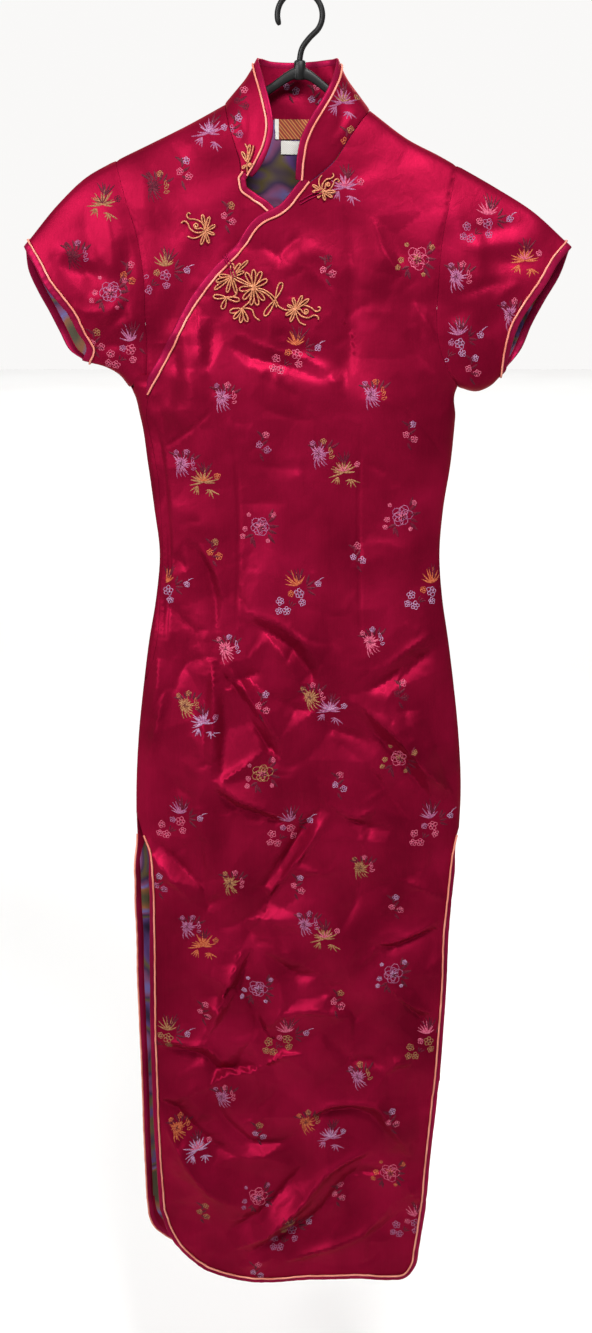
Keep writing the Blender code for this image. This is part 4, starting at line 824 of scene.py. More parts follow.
back_neck_cut = cut(BACK_NECK)
back_hem_cut = cut(BACK_HEM)
back_armhole_right_cut = cut(BACK_ARMHOLE_RIGHT)
back_armhole_left_cut = cut(BACK_ARMHOLE_LEFT)
back_slit_right_cut = slit_line("back_left")
back_slit_left_cut = slit_line("back_right")
# The top of this slit runs straight on from the side seam.
back_slit_right_cut[:, 0] = np.where(back_slit_right_cut[:, 1] > -945, -186.5, back_slit_right_cut[:, 0])
back_right_seam = side_line("left", UNDERARM_Z, SLIT_TOP_Z + 25)
back_outline = joined(
    back_neck_cut, left_shoulder_seam, back_armhole_left_cut, left_side_seam, back_slit_left_cut,
    back_hem_cut[::-1], back_slit_right_cut[::-1], back_right_seam[::-1], back_armhole_right_cut[::-1],
    right_shoulder_seam,
)
back_flat, back_faces = fill(back_outline)
back = cloth("back_satin", back_flat, back_faces, back_y, red_satin,
             seams=[left_side_seam, back_right_seam, back_armhole_right_cut, back_armhole_left_cut,
                    left_shoulder_seam, right_shoulder_seam])
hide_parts("back_panel")


# ---------------------------------------------------------------- zip cover
# A narrow strip of the satin that hides the side zip, from the underarm to the hip, stitched down
# along the front's edge.

PLACKET_TUCK = 1.7

placket_edge = placket_cut + [-SEAM_GAP, 0]
placket_zs = placket_edge[::-1, 1]
placket_side = np.stack([read(LEVELS, "left", placket_zs) + 0.2, placket_zs], axis=1)
placket_top = [(-177.5, -388.0), (-171.0, -383.0), (-158.8, -384.0), (-159.4, -396.0)]
placket_outline = joined(placket_top, placket_edge[1:], [(-172.5, -722)], placket_side[1:-1])
placket_flat, placket_faces = fill(placket_outline, 3.4)


def under_sleeve(points):
    """The strip's top is tucked in under the sleeve's seam."""
    return PLACKET_TUCK * ease((points[:, 1] - UNDERARM_Z) / 8)


placket = cloth("zip_cover_satin", placket_flat, placket_faces, front_y, red_satin,
                sunk=under_sleeve, seams=[placket_edge, placket_side])
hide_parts("zip_placket")


# ---------------------------------------------------------------- sleeves
# Two short set-in sleeves of the same satin, each one piece folded over the top of the arm and closed
# underneath. The cap is eased into the armhole, so that soft folds run down from it.

# The fold along the top, the seam underneath, and the cuff's front and back edges, each from armhole
# to cuff or from top to bottom.
RIGHT_TOP = [TIP_RIGHT, (-223, -180), (-252, -206), (-286, -245)]
RIGHT_UNDER = [(-183, UNDERARM_Z), (-194, -384), (-208, -376), (-226, -371)]
RIGHT_CUFF_FRONT = [
    (-286, -245), (-273, -266), (-263, -285), (-250, -302), (-238, -318), (-229, -338), (-220, -358),
    (-226, -371),
]
RIGHT_CUFF_BACK = [
    (-286, -245), (-284, -270), (-275, -293), (-263, -316), (-252, -338), (-240, -360), (-226, -371),
]
LEFT_TOP = [TIP_LEFT, (204, -190), (245, -215), (281, -246)]
LEFT_UNDER = [(171, UNDERARM_Z), (191, -402), (205, -396), (216, -385)]
LEFT_CUFF_FRONT = [(281, -246), (268, -260), (253, -285), (236, -310), (225, -330), (219, -354), (216, -385)]
LEFT_CUFF_BACK = [(281, -246), (272, -276), (256, -306), (243, -332), (232, -360), (216, -385)]
ARMHOLE_RIGHT_LOW = [(-165, -386), (-173, -391), (-183, UNDERARM_Z)]
RIGHT_SLEEVE_FOLDS = [Fold(*row) for row in [
    (-250, -262, -180, -295, 14, -5), (-196, -210, -200, -360, 20, 4), (-222, -352, -170, -338, 12, -5),
]]
LEFT_SLEEVE_FOLDS = [Fold(*row) for row in [
    (190, -262, 262, -262, 14, -5), (180, -230, 186, -370, 20, 4), (176, -345, 222, -322, 13, -4),
]]
SLEEVE_RINGS = 26
CUFF_FOLD = 5.0  # half the thickness of the cuff at its top and bottom folds
CUFF_DEPTH_FRONT = 15.0
CUFF_DEPTH_BACK = 17.0
RIGHT_SLEEVE_CREASES = [Crease(line, width, rise) for width, rise, *line in [
    (7, -2.2, (-262, -258), (-240, -272), (-212, -283)), (7, 1.8, (-258, -246), (-236, -258), (-208, -266)),
    (6, -2.2, (-214, -345), (-196, -328), (-180, -318)), (6, -2.0, (-222, -362), (-200, -352), (-182, -356)),
    (6, 1.6, (-212, -330), (-196, -314), (-184, -300)), (6, 1.4, (-240, -310), (-220, -318), (-200, -312)),
    (8, 1.6, (-205, -190), (-198, -230), (-190, -275)), (6, -1.5, (-188, -200), (-182, -240), (-178, -285)),
    (8, -1.3, (-226, -205), (-222, -235), (-214, -262)),
]] + crumples(seed=31, count=26, box=(-260, -175, -370, -190), slant=0.6)
LEFT_SLEEVE_CREASES = [Crease(line, width, rise) for width, rise, *line in [
    (7, -2.0, (170, -236), (206, -232), (244, -222)), (8, 1.8, (168, -250), (208, -250), (250, -242)),
    (6, -1.8, (160, -300), (186, -292), (212, -284)), (6, -2.4, (152, -345), (174, -352), (196, -372)),
    (6, 1.8, (155, -330), (180, -334), (208, -352)), (5, -1.8, (160, -372), (178, -378), (200, -390)),
    (8, 1.5, (160, -200), (166, -240), (168, -300)), (8, -1.3, (190, -200), (196, -230), (198, -262)),
    (6, 1.4, (205, -310), (216, -296), (232, -288)),
]] + crumples(seed=32, count=26, box=(170, 250, -380, -200), slant=-0.6)


def sleeve_rings(front_edge, back_edge, top, under, cuff_front, cuff_back, front_sunk, folds, creases):
    """Rings of the sleeve's outer face from armhole to cuff, each down the front and up the back."""
    shares = np.linspace(0, 1, SLEEVE_RINGS)
    w = np.linspace(0, 1, len(front_edge))
    halves, edge_normals = [], []
    for facing, edge, cuff, depth in ((-1, front_edge, cuff_front, CUFF_DEPTH_FRONT),
                                      (1, back_edge, cuff_back, CUFF_DEPTH_BACK)):
        start, normals = lay(front_y if facing < 0 else back_y, edge)
        edge_normals.append(normals[::-facing])
        if facing < 0:
            start = start - normals * front_sunk[:, None]
        end_flat = along(cuff, w)
        end_y = facing * (CUFF_FOLD + depth * np.sin(math.pi * w) ** 0.7)
        end = np.stack([end_flat[:, 0], end_y, end_flat[:, 1]], axis=1)
        fold_y = SEAM_EDGE + (CUFF_FOLD - SEAM_EDGE) * shares
        guides = []
        for line, corner in ((top, 0), (under, -1)):
            flat = along(line, shares)
            guide = np.stack([flat[:, 0], facing * fold_y, flat[:, 1]], axis=1)
            guide[0], guide[-1] = start[corner], end[corner]
            guides.append(guide)
        k, v = shares[:, None, None], w[None, :, None]
        patch = (1 - v) * guides[0][:, None] + v * guides[1][:, None] + (1 - k) * start + k * end
        patch -= (1 - k) * ((1 - v) * start[0] + v * start[-1]) + k * ((1 - v) * end[0] + v * end[-1])
        x, z = patch[..., 0].copy(), patch[..., 2].copy()
        lift = relief(x, z, folds) * np.sin(math.pi * shares)[:, None]
        lift += creased(x, z, creases) * np.clip(6 * shares * (1 - shares), 0, 1)[:, None] ** 0.5
        patch[..., 1] += facing * lift * np.sin(math.pi * w)[None, :]
        halves.append(patch)
    return np.concatenate([halves[0], halves[1][:, ::-1]], axis=1), np.concatenate(edge_normals)


def ring_normals(rings):
    """Outward normals of a tube of rings."""
    run = np.roll(rings, -1, axis=1) - np.roll(rings, 1, axis=1)
    normals = unit(np.cross(run, np.gradient(rings, axis=0)))
    outward = ((rings - rings.mean(axis=1, keepdims=True)) * normals).sum()
    return normals if outward > 0 else -normals


def tube_faces(stations, corners, closed=True):
    """Quads of a grid of rings, closed round each ring or left open."""
    faces = []
    for i in range(stations - 1):
        for a in range(corners if closed else corners - 1):
            b = (a + 1) % corners
            faces.append([i * corners + a, i * corners + b, (i + 1) * corners + b, (i + 1) * corners + a])
    return faces


def tube_wall(name, outer, inner, finish):
    """A wall open at both ends, between two equal sets of rings."""
    stations, corners = outer.shape[:2]
    total = stations * corners
    faces = tube_faces(stations, corners)
    faces += [[total + q for q in quad[::-1]] for quad in faces]
    for i in (0, stations - 1):
        for a in range(corners):
            b = (a + 1) % corners
            faces.append([i * corners + a, i * corners + b, total + i * corners + b, total + i * corners + a])
    return made_piece(name, np.vstack([outer.reshape(-1, 3), inner.reshape(-1, 3)]), faces, finish)


armhole_low_cut = cut(ARMHOLE_RIGHT_LOW, 3.0)
right_edge = np.vstack([armhole_right_cut, armhole_low_cut[1:]])
right_depth = under_overlap(armhole_right_cut)
right_sunk = np.concatenate([right_depth, np.linspace(right_depth[-1], 0, len(armhole_low_cut))[1:]])
Sleeve = namedtuple("Sleeve", "side front back top under cuff_front cuff_back sunk folds creases")
SLEEVES = [
    Sleeve("right", right_edge, along(BACK_ARMHOLE_RIGHT, np.linspace(0, 1, len(right_edge))),
           RIGHT_TOP, RIGHT_UNDER, RIGHT_CUFF_FRONT, RIGHT_CUFF_BACK, right_sunk,
           RIGHT_SLEEVE_FOLDS, RIGHT_SLEEVE_CREASES),
    Sleeve("left", armhole_left_cut, along(BACK_ARMHOLE_LEFT, np.linspace(0, 1, len(armhole_left_cut))),
           LEFT_TOP, LEFT_UNDER, LEFT_CUFF_FRONT, LEFT_CUFF_BACK, np.zeros(len(armhole_left_cut)),
           LEFT_SLEEVE_FOLDS, LEFT_SLEEVE_CREASES),
]
sleeves, cuffs, sleeve_skins = {}, {}, {}
for sleeve in SLEEVES:
    rings, edge_normals = sleeve_rings(*sleeve[1:])
    normals = ring_normals(rings)
    forward = unit(np.gradient(rings, axis=0))
    rings[0] += forward[0] * SEAM_GAP
    wall_normals = normals.copy()
    wall_normals[0] = edge_normals
    dipped = rings.copy()
    dipped[0] -= wall_normals[0] * SEAM_DIP
    piece = tube_wall("sleeve_satin_" + sleeve.side, dipped, rings - wall_normals * WALL, red_satin)
    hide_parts("sleeve_" + sleeve.side)
    sleeves[sleeve.side] = piece
    cuff_away = forward[-1] - normals[-1] * (forward[-1] * normals[-1]).sum(axis=1, keepdims=True)
    cuffs[sleeve.side] = (rings[-1], normals[-1], unit(cuff_away))
    sleeve_skins[sleeve.side] = (rings, normals, forward)


# ---------------------------------------------------------------- collar
# A stand collar, one band of the satin on stiff buckram, sewn to the neck edge all round. Its front
# ends part in a V, the left one running out to a point above the overlap.

COLLAR_WALL = 2.0
COLLAR_ROWS = 18
COLLAR_MIDDLE = (0, -4, 0)
# Collar stations, from the wearer's right front end round the back to the left front end: the seam
# point is read from the neck edges at `seat` (0 to 1 along each edge), the rest is the piping line.
Collar = namedtuple("Collar", "edge seat x y z")
COLLAR = [Collar(*row) for row in [
    ("right", 0.97, -54, -24, -178),
    ("right", 0.86, -46, -28, -167),
    ("right", 0.70, -37, -30, -149),
    ("right", 0.52, -33, -28, -130),
    ("right", 0.34, -36, -23, -110),
    ("right", 0.16, -42, -14, -88),
    ("back", 0.02, -47, -2, -69),
    ("back", 0.14, -43, 10, -67),
    ("back", 0.30, -30, 17, -70),
    ("back", 0.46, -8, 19, -71),
    ("back", 0.62, 14, 18, -70),
    ("back", 0.80, 34, 13, -68),
    ("back", 0.96, 42, 1, -69),
    ("left", 0.12, 38, -13, -86),
    ("left", 0.28, 28, -23, -105),
    ("left", 0.46, 16, -29, -124),
    ("left", 0.63, 7, -31, -142),
    ("left", 0.80, 3, -31, -160),
    ("left", 0.97, 1, -28, -183),
]]

COLLAR_CREASES = [Crease(line, width, rise) for width, rise, *line in [
    (7, -0.9, (-60, -98), (-52, -120), (-56, -146)), (5, 0.7, (-70, -110), (-62, -128), (-60, -150)),
    (7, -0.9, (36, -100), (44, -122), (40, -142)), (5, 0.7, (60, -112), (48, -128), (34, -150)),
    (8, 0.6, (-30, -78), (-10, -96), (20, -84)),
]]


def open_wall(name, outer, inner, finish, smooth_below=40):
    """A wall between two equal grids of points, closed round its four edges."""
    rows, columns = outer.shape[:2]
    total = rows * columns
    faces = tube_faces(rows, columns, closed=False)
    faces += [[total + q for q in quad[::-1]] for quad in faces]
    rim = list(range(columns)) + [i * columns + columns - 1 for i in range(1, rows)]
    rim += [(rows - 1) * columns + a for a in range(columns - 2, -1, -1)]
    rim += [i * columns for i in range(rows - 2, 0, -1)]
    faces += [[b, a, a + total, b + total] for a, b in zip(rim, rim[1:] + rim[:1])]
    points = np.vstack([outer.reshape(-1, 3), inner.reshape(-1, 3)])
    return made_piece(name, points, faces, finish, smooth_below)


def collar_rings():
    """Rows of the collar's outer face, from the points of the neck seam up to the piping line."""
    edges = (
        ("right", underlap_neck_cut[::-1], front_y),
        ("back", back_neck_cut, back_y),
        ("left", front_neck_cut, front_y),
    )
    foot, place, starts, reach = [], [], {}, 0.0
    for name, line, surface in edges:
        length = distances(line)
        starts[name] = (reach, length.sum())
        skip = 1 if foot else 0
        foot += list(lay(surface, line)[0][skip:])
        place += list(reach + running(length)[skip:])
        reach += length.sum()
    foot, place = np.array(foot), np.array(place)
    seats = []
    for station in COLLAR:
        start, length = starts[station.edge]
        seat = 1 - station.seat if station.edge == "right" else station.seat
        seats.append(start + seat * length)
    rim = np.stack([smooth(place, seats, [getattr(row, axis) for row in COLLAR]) for axis in "xyz"], axis=1)
    foot = foot + unit(rim - foot) * (SEAM_GAP + 0.2)
    shares = np.linspace(0, 1, COLLAR_ROWS + 1)
    return np.array([foot + (rim - foot) * share for share in shares])


collar_rows = collar_rings()
collar_up = np.gradient(collar_rows, axis=0)
collar_normals = unit(np.cross(np.gradient(collar_rows, axis=1), collar_up))
if (collar_normals * (collar_rows - COLLAR_MIDDLE) * [1, 1, 0]).sum() < 0:
    collar_normals = -collar_normals
collar_puckers = creased(collar_rows[..., 0], collar_rows[..., 2], COLLAR_CREASES)
collar_puckers *= np.sin(math.pi * np.linspace(0, 1, COLLAR_ROWS + 1))[:, None]
collar_outer = collar_rows + collar_normals * collar_puckers[..., None]
collar_inner = collar_outer - collar_normals * COLLAR_WALL
collar_outer[0] -= collar_normals[0] * SEAM_DIP * 0.6
collar = open_wall("collar_satin", collar_outer, collar_inner, red_satin)
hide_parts("collar")


# ---------------------------------------------------------------- linings
# Thin polyester taffeta, printed in soft blurred patches of purple, olive, rust and magenta. It is
# fixed inside the back neck, the skirt and the cuffs, and shows there only.

LINING_WALL = 1.0
LINING_STEP = 5.5
LINING_DEPTH = WALL + SEAM_GAP
NECK_LINING_EDGE = [
    (62, -131), (110, -158), (140, -176), (135, -240), (120, -300), (60, -312), (0, -316), (-70, -312),
    (-140, -300), (-152, -240), (-160, -178), (-112, -144), (-68, -125),
]


def flat_area(flat, faces):
    """Area in square metres of the triangles of a flat cut."""
    a, b, c = (flat[[face[i] for face in faces]] for i in range(3))
    return float(np.abs(np.cross(b - a, c - a)).sum() / 2) * MM**2


def cut_size(piece, flat, faces):
    """Width, length and area in metres of a flat cut, let out by what the piece's folds take up."""
    outer = np.array([vertex.co for vertex in piece.data.vertices])[:len(flat)]
    a, b, c = (outer[[face[i] for face in faces]] for i in range(3))
    area = float(np.linalg.norm(np.cross(b - a, c - a), axis=1).sum() / 2)
    width, length = np.ptp(flat, axis=0) * MM * math.sqrt(area / flat_area(flat, faces))
    return float(width), float(length), area


def lining_skirt_outline():
    """Inside the back panel, from just above the slits down to just above the hem."""
    inside_seams, inside_slits, above_hem = 13.0, 2.0, 9.0
    zs = np.linspace(SLIT_TOP_Z - 30, SLITS[-1].z, 90)
    top_z = SLIT_TOP_Z + 20
    top_left, top_right = read(LEVELS, "left", top_z), read(LEVELS, "right", top_z)
    top = [(top_left + inside_seams, top_z), (top_right - inside_seams, top_z)]
    right_slit = np.stack([read(SLITS, "back_left", zs) + inside_slits, zs], axis=1)
    left_slit = np.stack([read(SLITS, "back_right", zs) - inside_slits, zs], axis=1)
    hem = cut(BACK_HEM)[2:-2] * [0.985, 1] + [0, above_hem]
    return joined(cut(top), left_slit, hem[::-1], right_slit[::-1])


printed_taffeta, tree, shader = new_material(
    "printed polyester taffeta", Roughness=0.5, Specular_IOR_Level=0.25)
coloured(tree, shader, noise(tree, 0.060, 1.5, Roughness=0.5, Distortion=0.5), [
    (0.30, "#241A30"), (0.39, "#5A3C74"), (0.43, "#5E5030"), (0.47, "#3C2A48"),
    (0.51, "#7A4468"), (0.55, "#6C629C"), (0.60, "#8A5636"), (0.68, "#4A4430")])
raised(tree, shader, noise(tree, 0.009), 0.3, 0.0008)

neck_lining_outline = joined(cut(BACK_NECK[1:-1]) * [0.97, 1] + [0, 1.5], cut(NECK_LINING_EDGE))
linings, lining_cuts = {}, {}
for name, outline in (("lining_neck", neck_lining_outline), ("lining_skirt", lining_skirt_outline())):
    flat, faces = fill(outline, LINING_STEP)
    linings[name] = cloth(name + "_taffeta", flat, faces, back_y, printed_taffeta, LINING_WALL,
                          sunk=lambda points: LINING_DEPTH)
    lining_cuts[name] = cut_size(linings[name], flat, faces)
    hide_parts(name)
for side, (rings, normals, forward) in sleeve_skins.items():
    shown = slice(2 * SLEEVE_RINGS // 3, SLEEVE_RINGS)
    outer = (rings - normals * (WALL + SEAM_GAP))[shown] - forward[shown] * 1.5
    inner = outer - normals[shown] * LINING_WALL
    piece = tube_wall("lining_cuff_taffeta_" + side, outer, inner, printed_taffeta)
    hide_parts("lining_sleeve_" + side)
    linings["sleeve_" + side] = piece


# ---------------------------------------------------------------- bindings and pipings
# Every free edge is bound with a bias strip of plain dark red satin, 5.5 to 7.5 mm wide and rolled over
# the edge, and with it runs a thin cord covered in peach-gold satin. Both pucker slightly.

BINDING_WIDTH = 7.5
SKIRT_BINDING_WIDTH = 5.5
NECK_BINDING_WIDTH = 6.0
BINDING_LAP = 1.3  # how far it laps onto the cloth
BINDING_PROUD = 0.25
PIPING_RADIUS = 1.0

bias_satin = satin("plain dark red bias satin", "#700D2C", "#801034", "#90143B",
                   roughness=0.42, gloss_metal=0.4)

covered_cord, tree, shader = new_material(
    "peach gold satin-covered cord", Roughness=0.4, Metallic=0.1, Specular_IOR_Level=0.4)
coloured(tree, shader, noise(tree, 0.02), [(0.3, "#C46A56"), (0.7, "#E0907C")])
raised(tree, shader, noise(tree, 0.0022), 0.3, 0.0003)


def tangents(points, closed=False):
    """The direction of a path at each of its points."""
    if closed:
        return unit(np.roll(points, -1, axis=0) - np.roll(points, 1, axis=0))
    return unit(np.gradient(points, axis=0))


def sweep(name, rings, finish, closed=False):
    """One skin over equal rings of points, capped at its ends unless it closes on itself."""
    rings = np.asarray(rings, float)
    stations, corners = rings.shape[:2]
    faces = tube_faces(stations, corners)
    if closed:
        last = (stations - 1) * corners
        faces += [[last + a, last + (a + 1) % corners, (a + 1) % corners, a] for a in range(corners)]
    else:
        faces.append(list(range(corners))[::-1])
        faces.append([(stations - 1) * corners + a for a in range(corners)])
    return made_piece(name, rings.reshape(-1, 3), faces, finish, smooth_below=60)


def tube_rings(points, normals, radius, closed=False, sides=8):
    """Rings of a round cord along points, square to its path."""
    side = unit(np.cross(tangents(points, closed), normals))
    up = unit(np.cross(side, tangents(points, closed)))
    turns = np.linspace(0, 2 * math.pi, sides + 1)[:-1]
    radius = np.broadcast_to(radius, len(points))[:, None]
    return np.stack([points + radius * (side * math.cos(a) + up * math.sin(a)) for a in turns], axis=1)


def edge_frame(points, normals, outward_hint, closed=False):
    """Unit vectors that lie in the cloth and point away from it across its edge."""
    away = unit(np.cross(tangents(points, closed), normals))
    flip = np.sign((away * outward_hint).sum(axis=1))
    flip[flip == 0] = 1
    return away * flip[:, None]


def bind_edge(name, points, normals, away, wall=WALL, closed=False, width=BINDING_WIDTH, cord_out=False):
    """The binding, rolled over the edge and slightly puckered, and its piping: just inside it, or
    `cord_out` along its fold."""
    width = np.broadcast_to(np.asarray(width, float), len(points))
    half, thick = (width + BINDING_LAP) / 2, (wall + 2 * BINDING_PROUD) / 2
    run = np.arange(len(points))
    swell = 0.16 * np.sin(run * 1.9) + 0.12 * np.sin(run * 0.83 + 1)
    rings = []
    for a in np.linspace(0, 2 * math.pi, 13)[:-1]:
        across_edge = half * (math.copysign(abs(math.cos(a)) ** 0.75, math.cos(a)) + 1) - BINDING_LAP
        lift = thick * math.copysign(abs(math.sin(a)) ** 0.6, math.sin(a)) + BINDING_PROUD - thick
        puckered = np.broadcast_to(lift + (swell if math.sin(a) > 0.3 else 0.0), len(points))
        rings.append(points + away * across_edge[:, None] + normals * puckered[:, None])
    binding = sweep("binding_satin_" + name, np.stack(rings, axis=1), bias_satin, closed)
    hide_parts("binding_" + name)
    if cord_out:
        seat = points + away * (width + 0.3)[:, None] - normals * (wall / 2)
    else:
        seat = points - away * (PIPING_RADIUS + 0.1) + normals * (PIPING_RADIUS + SEAM_GAP)
    seat = seat + away * (0.12 * np.sin(run * 1.3))[:, None]
    cord = tube_rings(seat, normals, 1.08 * PIPING_RADIUS, closed)
    piping = sweep("piping_cord_" + name, cord, covered_cord, closed)
    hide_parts("piping_" + name)
    return [binding, piping]


trims = {"collar": bind_edge("collar", collar_rows[-1], collar_normals[-1],
                             edge_frame(collar_rows[-1], collar_normals[-1], collar_up[-1]),
                             wall=COLLAR_WALL, width=NECK_BINDING_WIDTH)}
for side, (points, normals, away) in cuffs.items():
    trims["cuff_" + side] = bind_edge("cuff_" + side, points, normals, away, closed=True)
flat = joined(cut([(9, -184), (4, -190)], 3.0), cut(OVERLAP, 4.0), cut([(-161, -399), (-163, -403)], 2.0))
points, normals = lay(front_y, flat)
overlap_width = BINDING_WIDTH * (0.25 + 0.75 * ease(np.linspace(0, 1, len(flat)) * -14 + 14))
away = edge_frame(points, normals, np.array([-1.0, 0.0, 1.0]))
trims["overlap"] = bind_edge("overlap", points, normals, away, width=overlap_width)
flat = joined(cut([(-58, -175), (-62, -181)], 2.0), cut(UNDERLAP_NECK_EDGE, 3.0))
points, normals = lay(front_y, flat)
points = points - normals * under_overlap(flat)[:, None]
away = edge_frame(points, normals, np.array([1.0, 0.0, 1.0]))
trims["underlap"] = bind_edge("underlap", points, normals, away, width=NECK_BINDING_WIDTH)
for side, surface, first, hem, last in (
        ("front_skirt", front_y, front_slit_right_cut, front_hem_cut, front_slit_left_cut),
        ("back_skirt", back_y, back_slit_right_cut, back_hem_cut, back_slit_left_cut)):
    line = joined(first, hem[1:-1], last[::-1])
    points, normals = lay(surface, line)
    ends = np.minimum(np.arange(len(line)), np.arange(len(line))[::-1]) * CLOTH_STEP
    width = SKIRT_BINDING_WIDTH * (0.08 + 0.92 * ease(ends / 45))
    away = edge_frame(points, normals, points - [0.0, 0.0, -1150.0])
    trims[side] = bind_edge(side, points, normals, away, width=width, cord_out=side == "back_skirt")


# ---------------------------------------------------------------- brocade motifs
# Flowers, bamboo and plum blossom woven into the satin with floating coloured threads, each about
# 25 mm across and repeated every 155 x 272 mm. The floats stand a third of a millimetre proud and
# are a little glossier than the ground; the leaves are tonal, in a darker red.

THREAD_RISE = 0.32
MOTIF_SIZE = 1.15


def thread(name, dark, light):
    """Floating rayon weft: glossy along its length, with the single floats 0.8 mm apart."""
    made, tree, shader = new_material(name, Roughness=0.55, Specular_IOR_Level=0.15)
    floats = noise(tree, 0.0016, 1.0)
    coloured(tree, shader, floats, [(0.38, dark), (0.62, light)])
    raised(tree, shader, floats, 0.5, 0.0003)
    return made


THREADS = {
    "tonal": thread("tonal dark red thread", "#42041A", "#5E0822"),
    "mauve": thread("mauve rayon thread", "#78395F", "#9A5C7A"),
    "pink": thread("pink rayon thread", "#9A3050", "#B85870"),
    "gold": thread("old gold rayon thread", "#74462C", "#966A48"),
    "orange": thread("orange rayon thread", "#8E3820", "#AE5E3A"),
    "lilac": thread("pale lilac rayon thread", "#7E5478", "#A27C98"),
}
THREAD_NAMES = list(THREADS)
Stroke = namedtuple("Stroke", "line widths colour lift")


uneven = np.random.default_rng(3)  # no two petals are woven quite alike


def petal(x, z, degrees, length, width, colour, bend=0.0, blunt=False, lift=0.0):
    """One float-filled petal or leaf from (x, z): pointed at its tip unless it is blunt."""
    length, degrees = length * uneven.uniform(0.82, 1.12), degrees + uneven.uniform(-7, 7)
    t = np.linspace(0, 1, max(4, int(length / 2.4) + 1))
    heading = math.radians(degrees) + bend * t
    step = length / (len(t) - 1)
    line = np.stack([x + running(np.cos(heading[1:]) * step),
                     z + running(np.sin(heading[1:]) * step)], axis=1)
    shape = np.sin(math.pi * (0.12 + 0.80 * t ** (1.5 if blunt else 0.7))) ** (0.7 if blunt else 1.0)
    return Stroke(line, width * shape, colour, lift)


def ringed(stroke, thread_width=0.75):
    """The same petal drawn by its outline only, so that the ground shows inside."""
    half = (stroke.widths / 2)[:, None]
    line = np.vstack([beside(stroke.line, -half), beside(stroke.line, half)[::-1]])
    return Stroke(line, np.full(len(line), thread_width), stroke.colour, stroke.lift)


def blossom(x, z, size, colour, heart="tonal", turn=18.0):
    """A five-petalled blossom in outline with a darker heart."""
    strokes = [petal(x, z, turn + 72 * n, size * 0.56, size * 0.46, colour, blunt=True) for n in range(5)]
    strokes = [ringed(stroke) for stroke in strokes]
    return strokes + [petal(x - size * 0.14, z, 0, size * 0.28, size * 0.24, heart, blunt=True, lift=0.25)]


def chrysanthemum(colour, accent):
    strokes = [petal(0, 2, 195 + 22 * n, 7.2 + 1.6 * (n % 3), 1.9, colour, 0.9 - 0.08 * n) for n in range(16)]
    strokes += [petal(-1, 3, 10 + 36 * n, 5.8, 1.7, colour, 1.1, lift=0.2) for n in range(10)]
    strokes += [petal(0, 2.5, 50 + 60 * n, 3.8, 1.2, "tonal", 1.2, lift=0.35) for n in range(5)]
    strokes += [petal(-3 + 2.6 * n, -4, 255 + 12 * n, 8.5 - n, 1.2, colour, 0.7) for n in range(4)]
    strokes += [petal(-4 + 3 * n, 8, 150 - 24 * n, 8.5, 2.8, "tonal", 0.3) for n in range(6)]
    strokes += [ringed(petal(10, 5 - 3 * n, 50 - 34 * n, 5, 2.2, accent, 1.0)) for n in range(3)]
    return strokes + blossom(4, 14, 5, accent) + blossom(-6, 12, 4, colour)


def peony(colour, accent):
    strokes = [petal(1 - n % 3, 0, 60 * n, 9.0 + n % 2, 8.4, colour, 0.25, blunt=True) for n in range(6)]
    strokes += [petal(n % 2, 1, 25 + 72 * n, 6.8, 5.4, colour, 0.4, blunt=True, lift=0.2) for n in range(5)]
    strokes = [ringed(stroke) for stroke in strokes]
    strokes += [petal(0, 0, 12 + 60 * n, 4.6, 1.6, accent, 0.7, lift=0.35) for n in range(6)]
    strokes += [petal(1, -1, 30 + 72 * n, 3.0, 2.2, "tonal", blunt=True, lift=0.5) for n in range(5)]
    for x, z, size in ((-14, -3, 4.5), (-16, -10, 4.0), (-11, 11, 3.2), (8, -13, 3.2), (12, 12, 4.5)):
        strokes += blossom(x, z, size, accent, turn=12 * x)
    strokes += [petal(8, 9 - 4 * n, 62 - 30 * n, 9.5, 3.6, "tonal", 0.2) for n in range(5)]
    return strokes + [petal(-6, -8 - 2 * n, 200 + 40 * n, 8, 3.4, "tonal", 0.2) for n in range(3)]


def bamboo_and_plum(colour, accent):
    strokes = [petal(0, 4, 172 - 22 * n, 16 - 1.7 * abs(n - 3), 1.6, colour, 0.1 * (n - 3)) for n in range(8)]
    strokes += [petal(2, 8, 125 - 18 * n, 15, 1.9, "tonal", 0.1) for n in range(5)]
    strokes += [petal(9, 4 - 2 * n, 60 - 34 * n, 9, 2.8, "tonal", 0.2) for n in range(4)]
    for x, z, size in ((1, -4, 8.5), (3, -13, 6), (-7, -3, 5.5), (-18, -9, 7), (-13, -19, 7), (-20, -18, 6)):
        strokes += blossom(x, z, size, accent if size > 5.8 else colour, turn=10 * x)
    strokes += [petal(-9 + 3 * n, -9 - 2 * n, 250 - 30 * n, 6, 1.6, "tonal", 0.3) for n in range(3)]
    return strokes + blossom(20, 3, 5.5, "lilac") + [petal(21, 6, 60, 7, 1.0, "lilac", -0.8)]


def spiked_leaf(colour, accent):
    strokes = [petal(0, -2, 204 - 19 * n, 14 - 3.2 * (n % 2), 1.9, colour, 0.04 * (n - 5)) for n in range(12)]
    strokes += [petal(0, -1, 160 - 34 * n, 8, 1.6, accent, 0.1, lift=0.2) for n in range(5)]
    strokes += [petal(1, 6, 128 - 19 * n, 12, 2.1, "tonal", 0.1) for n in range(5)]
    strokes += [petal(7, -9, 330 - 36 * n, 9 - n, 1.6, colour, 0.1) for n in range(5)]
    strokes += [petal(-5, -6, 215 + 22 * n, 8, 1.5, colour) for n in range(4)]
    return strokes + blossom(13, 5, 5, accent)


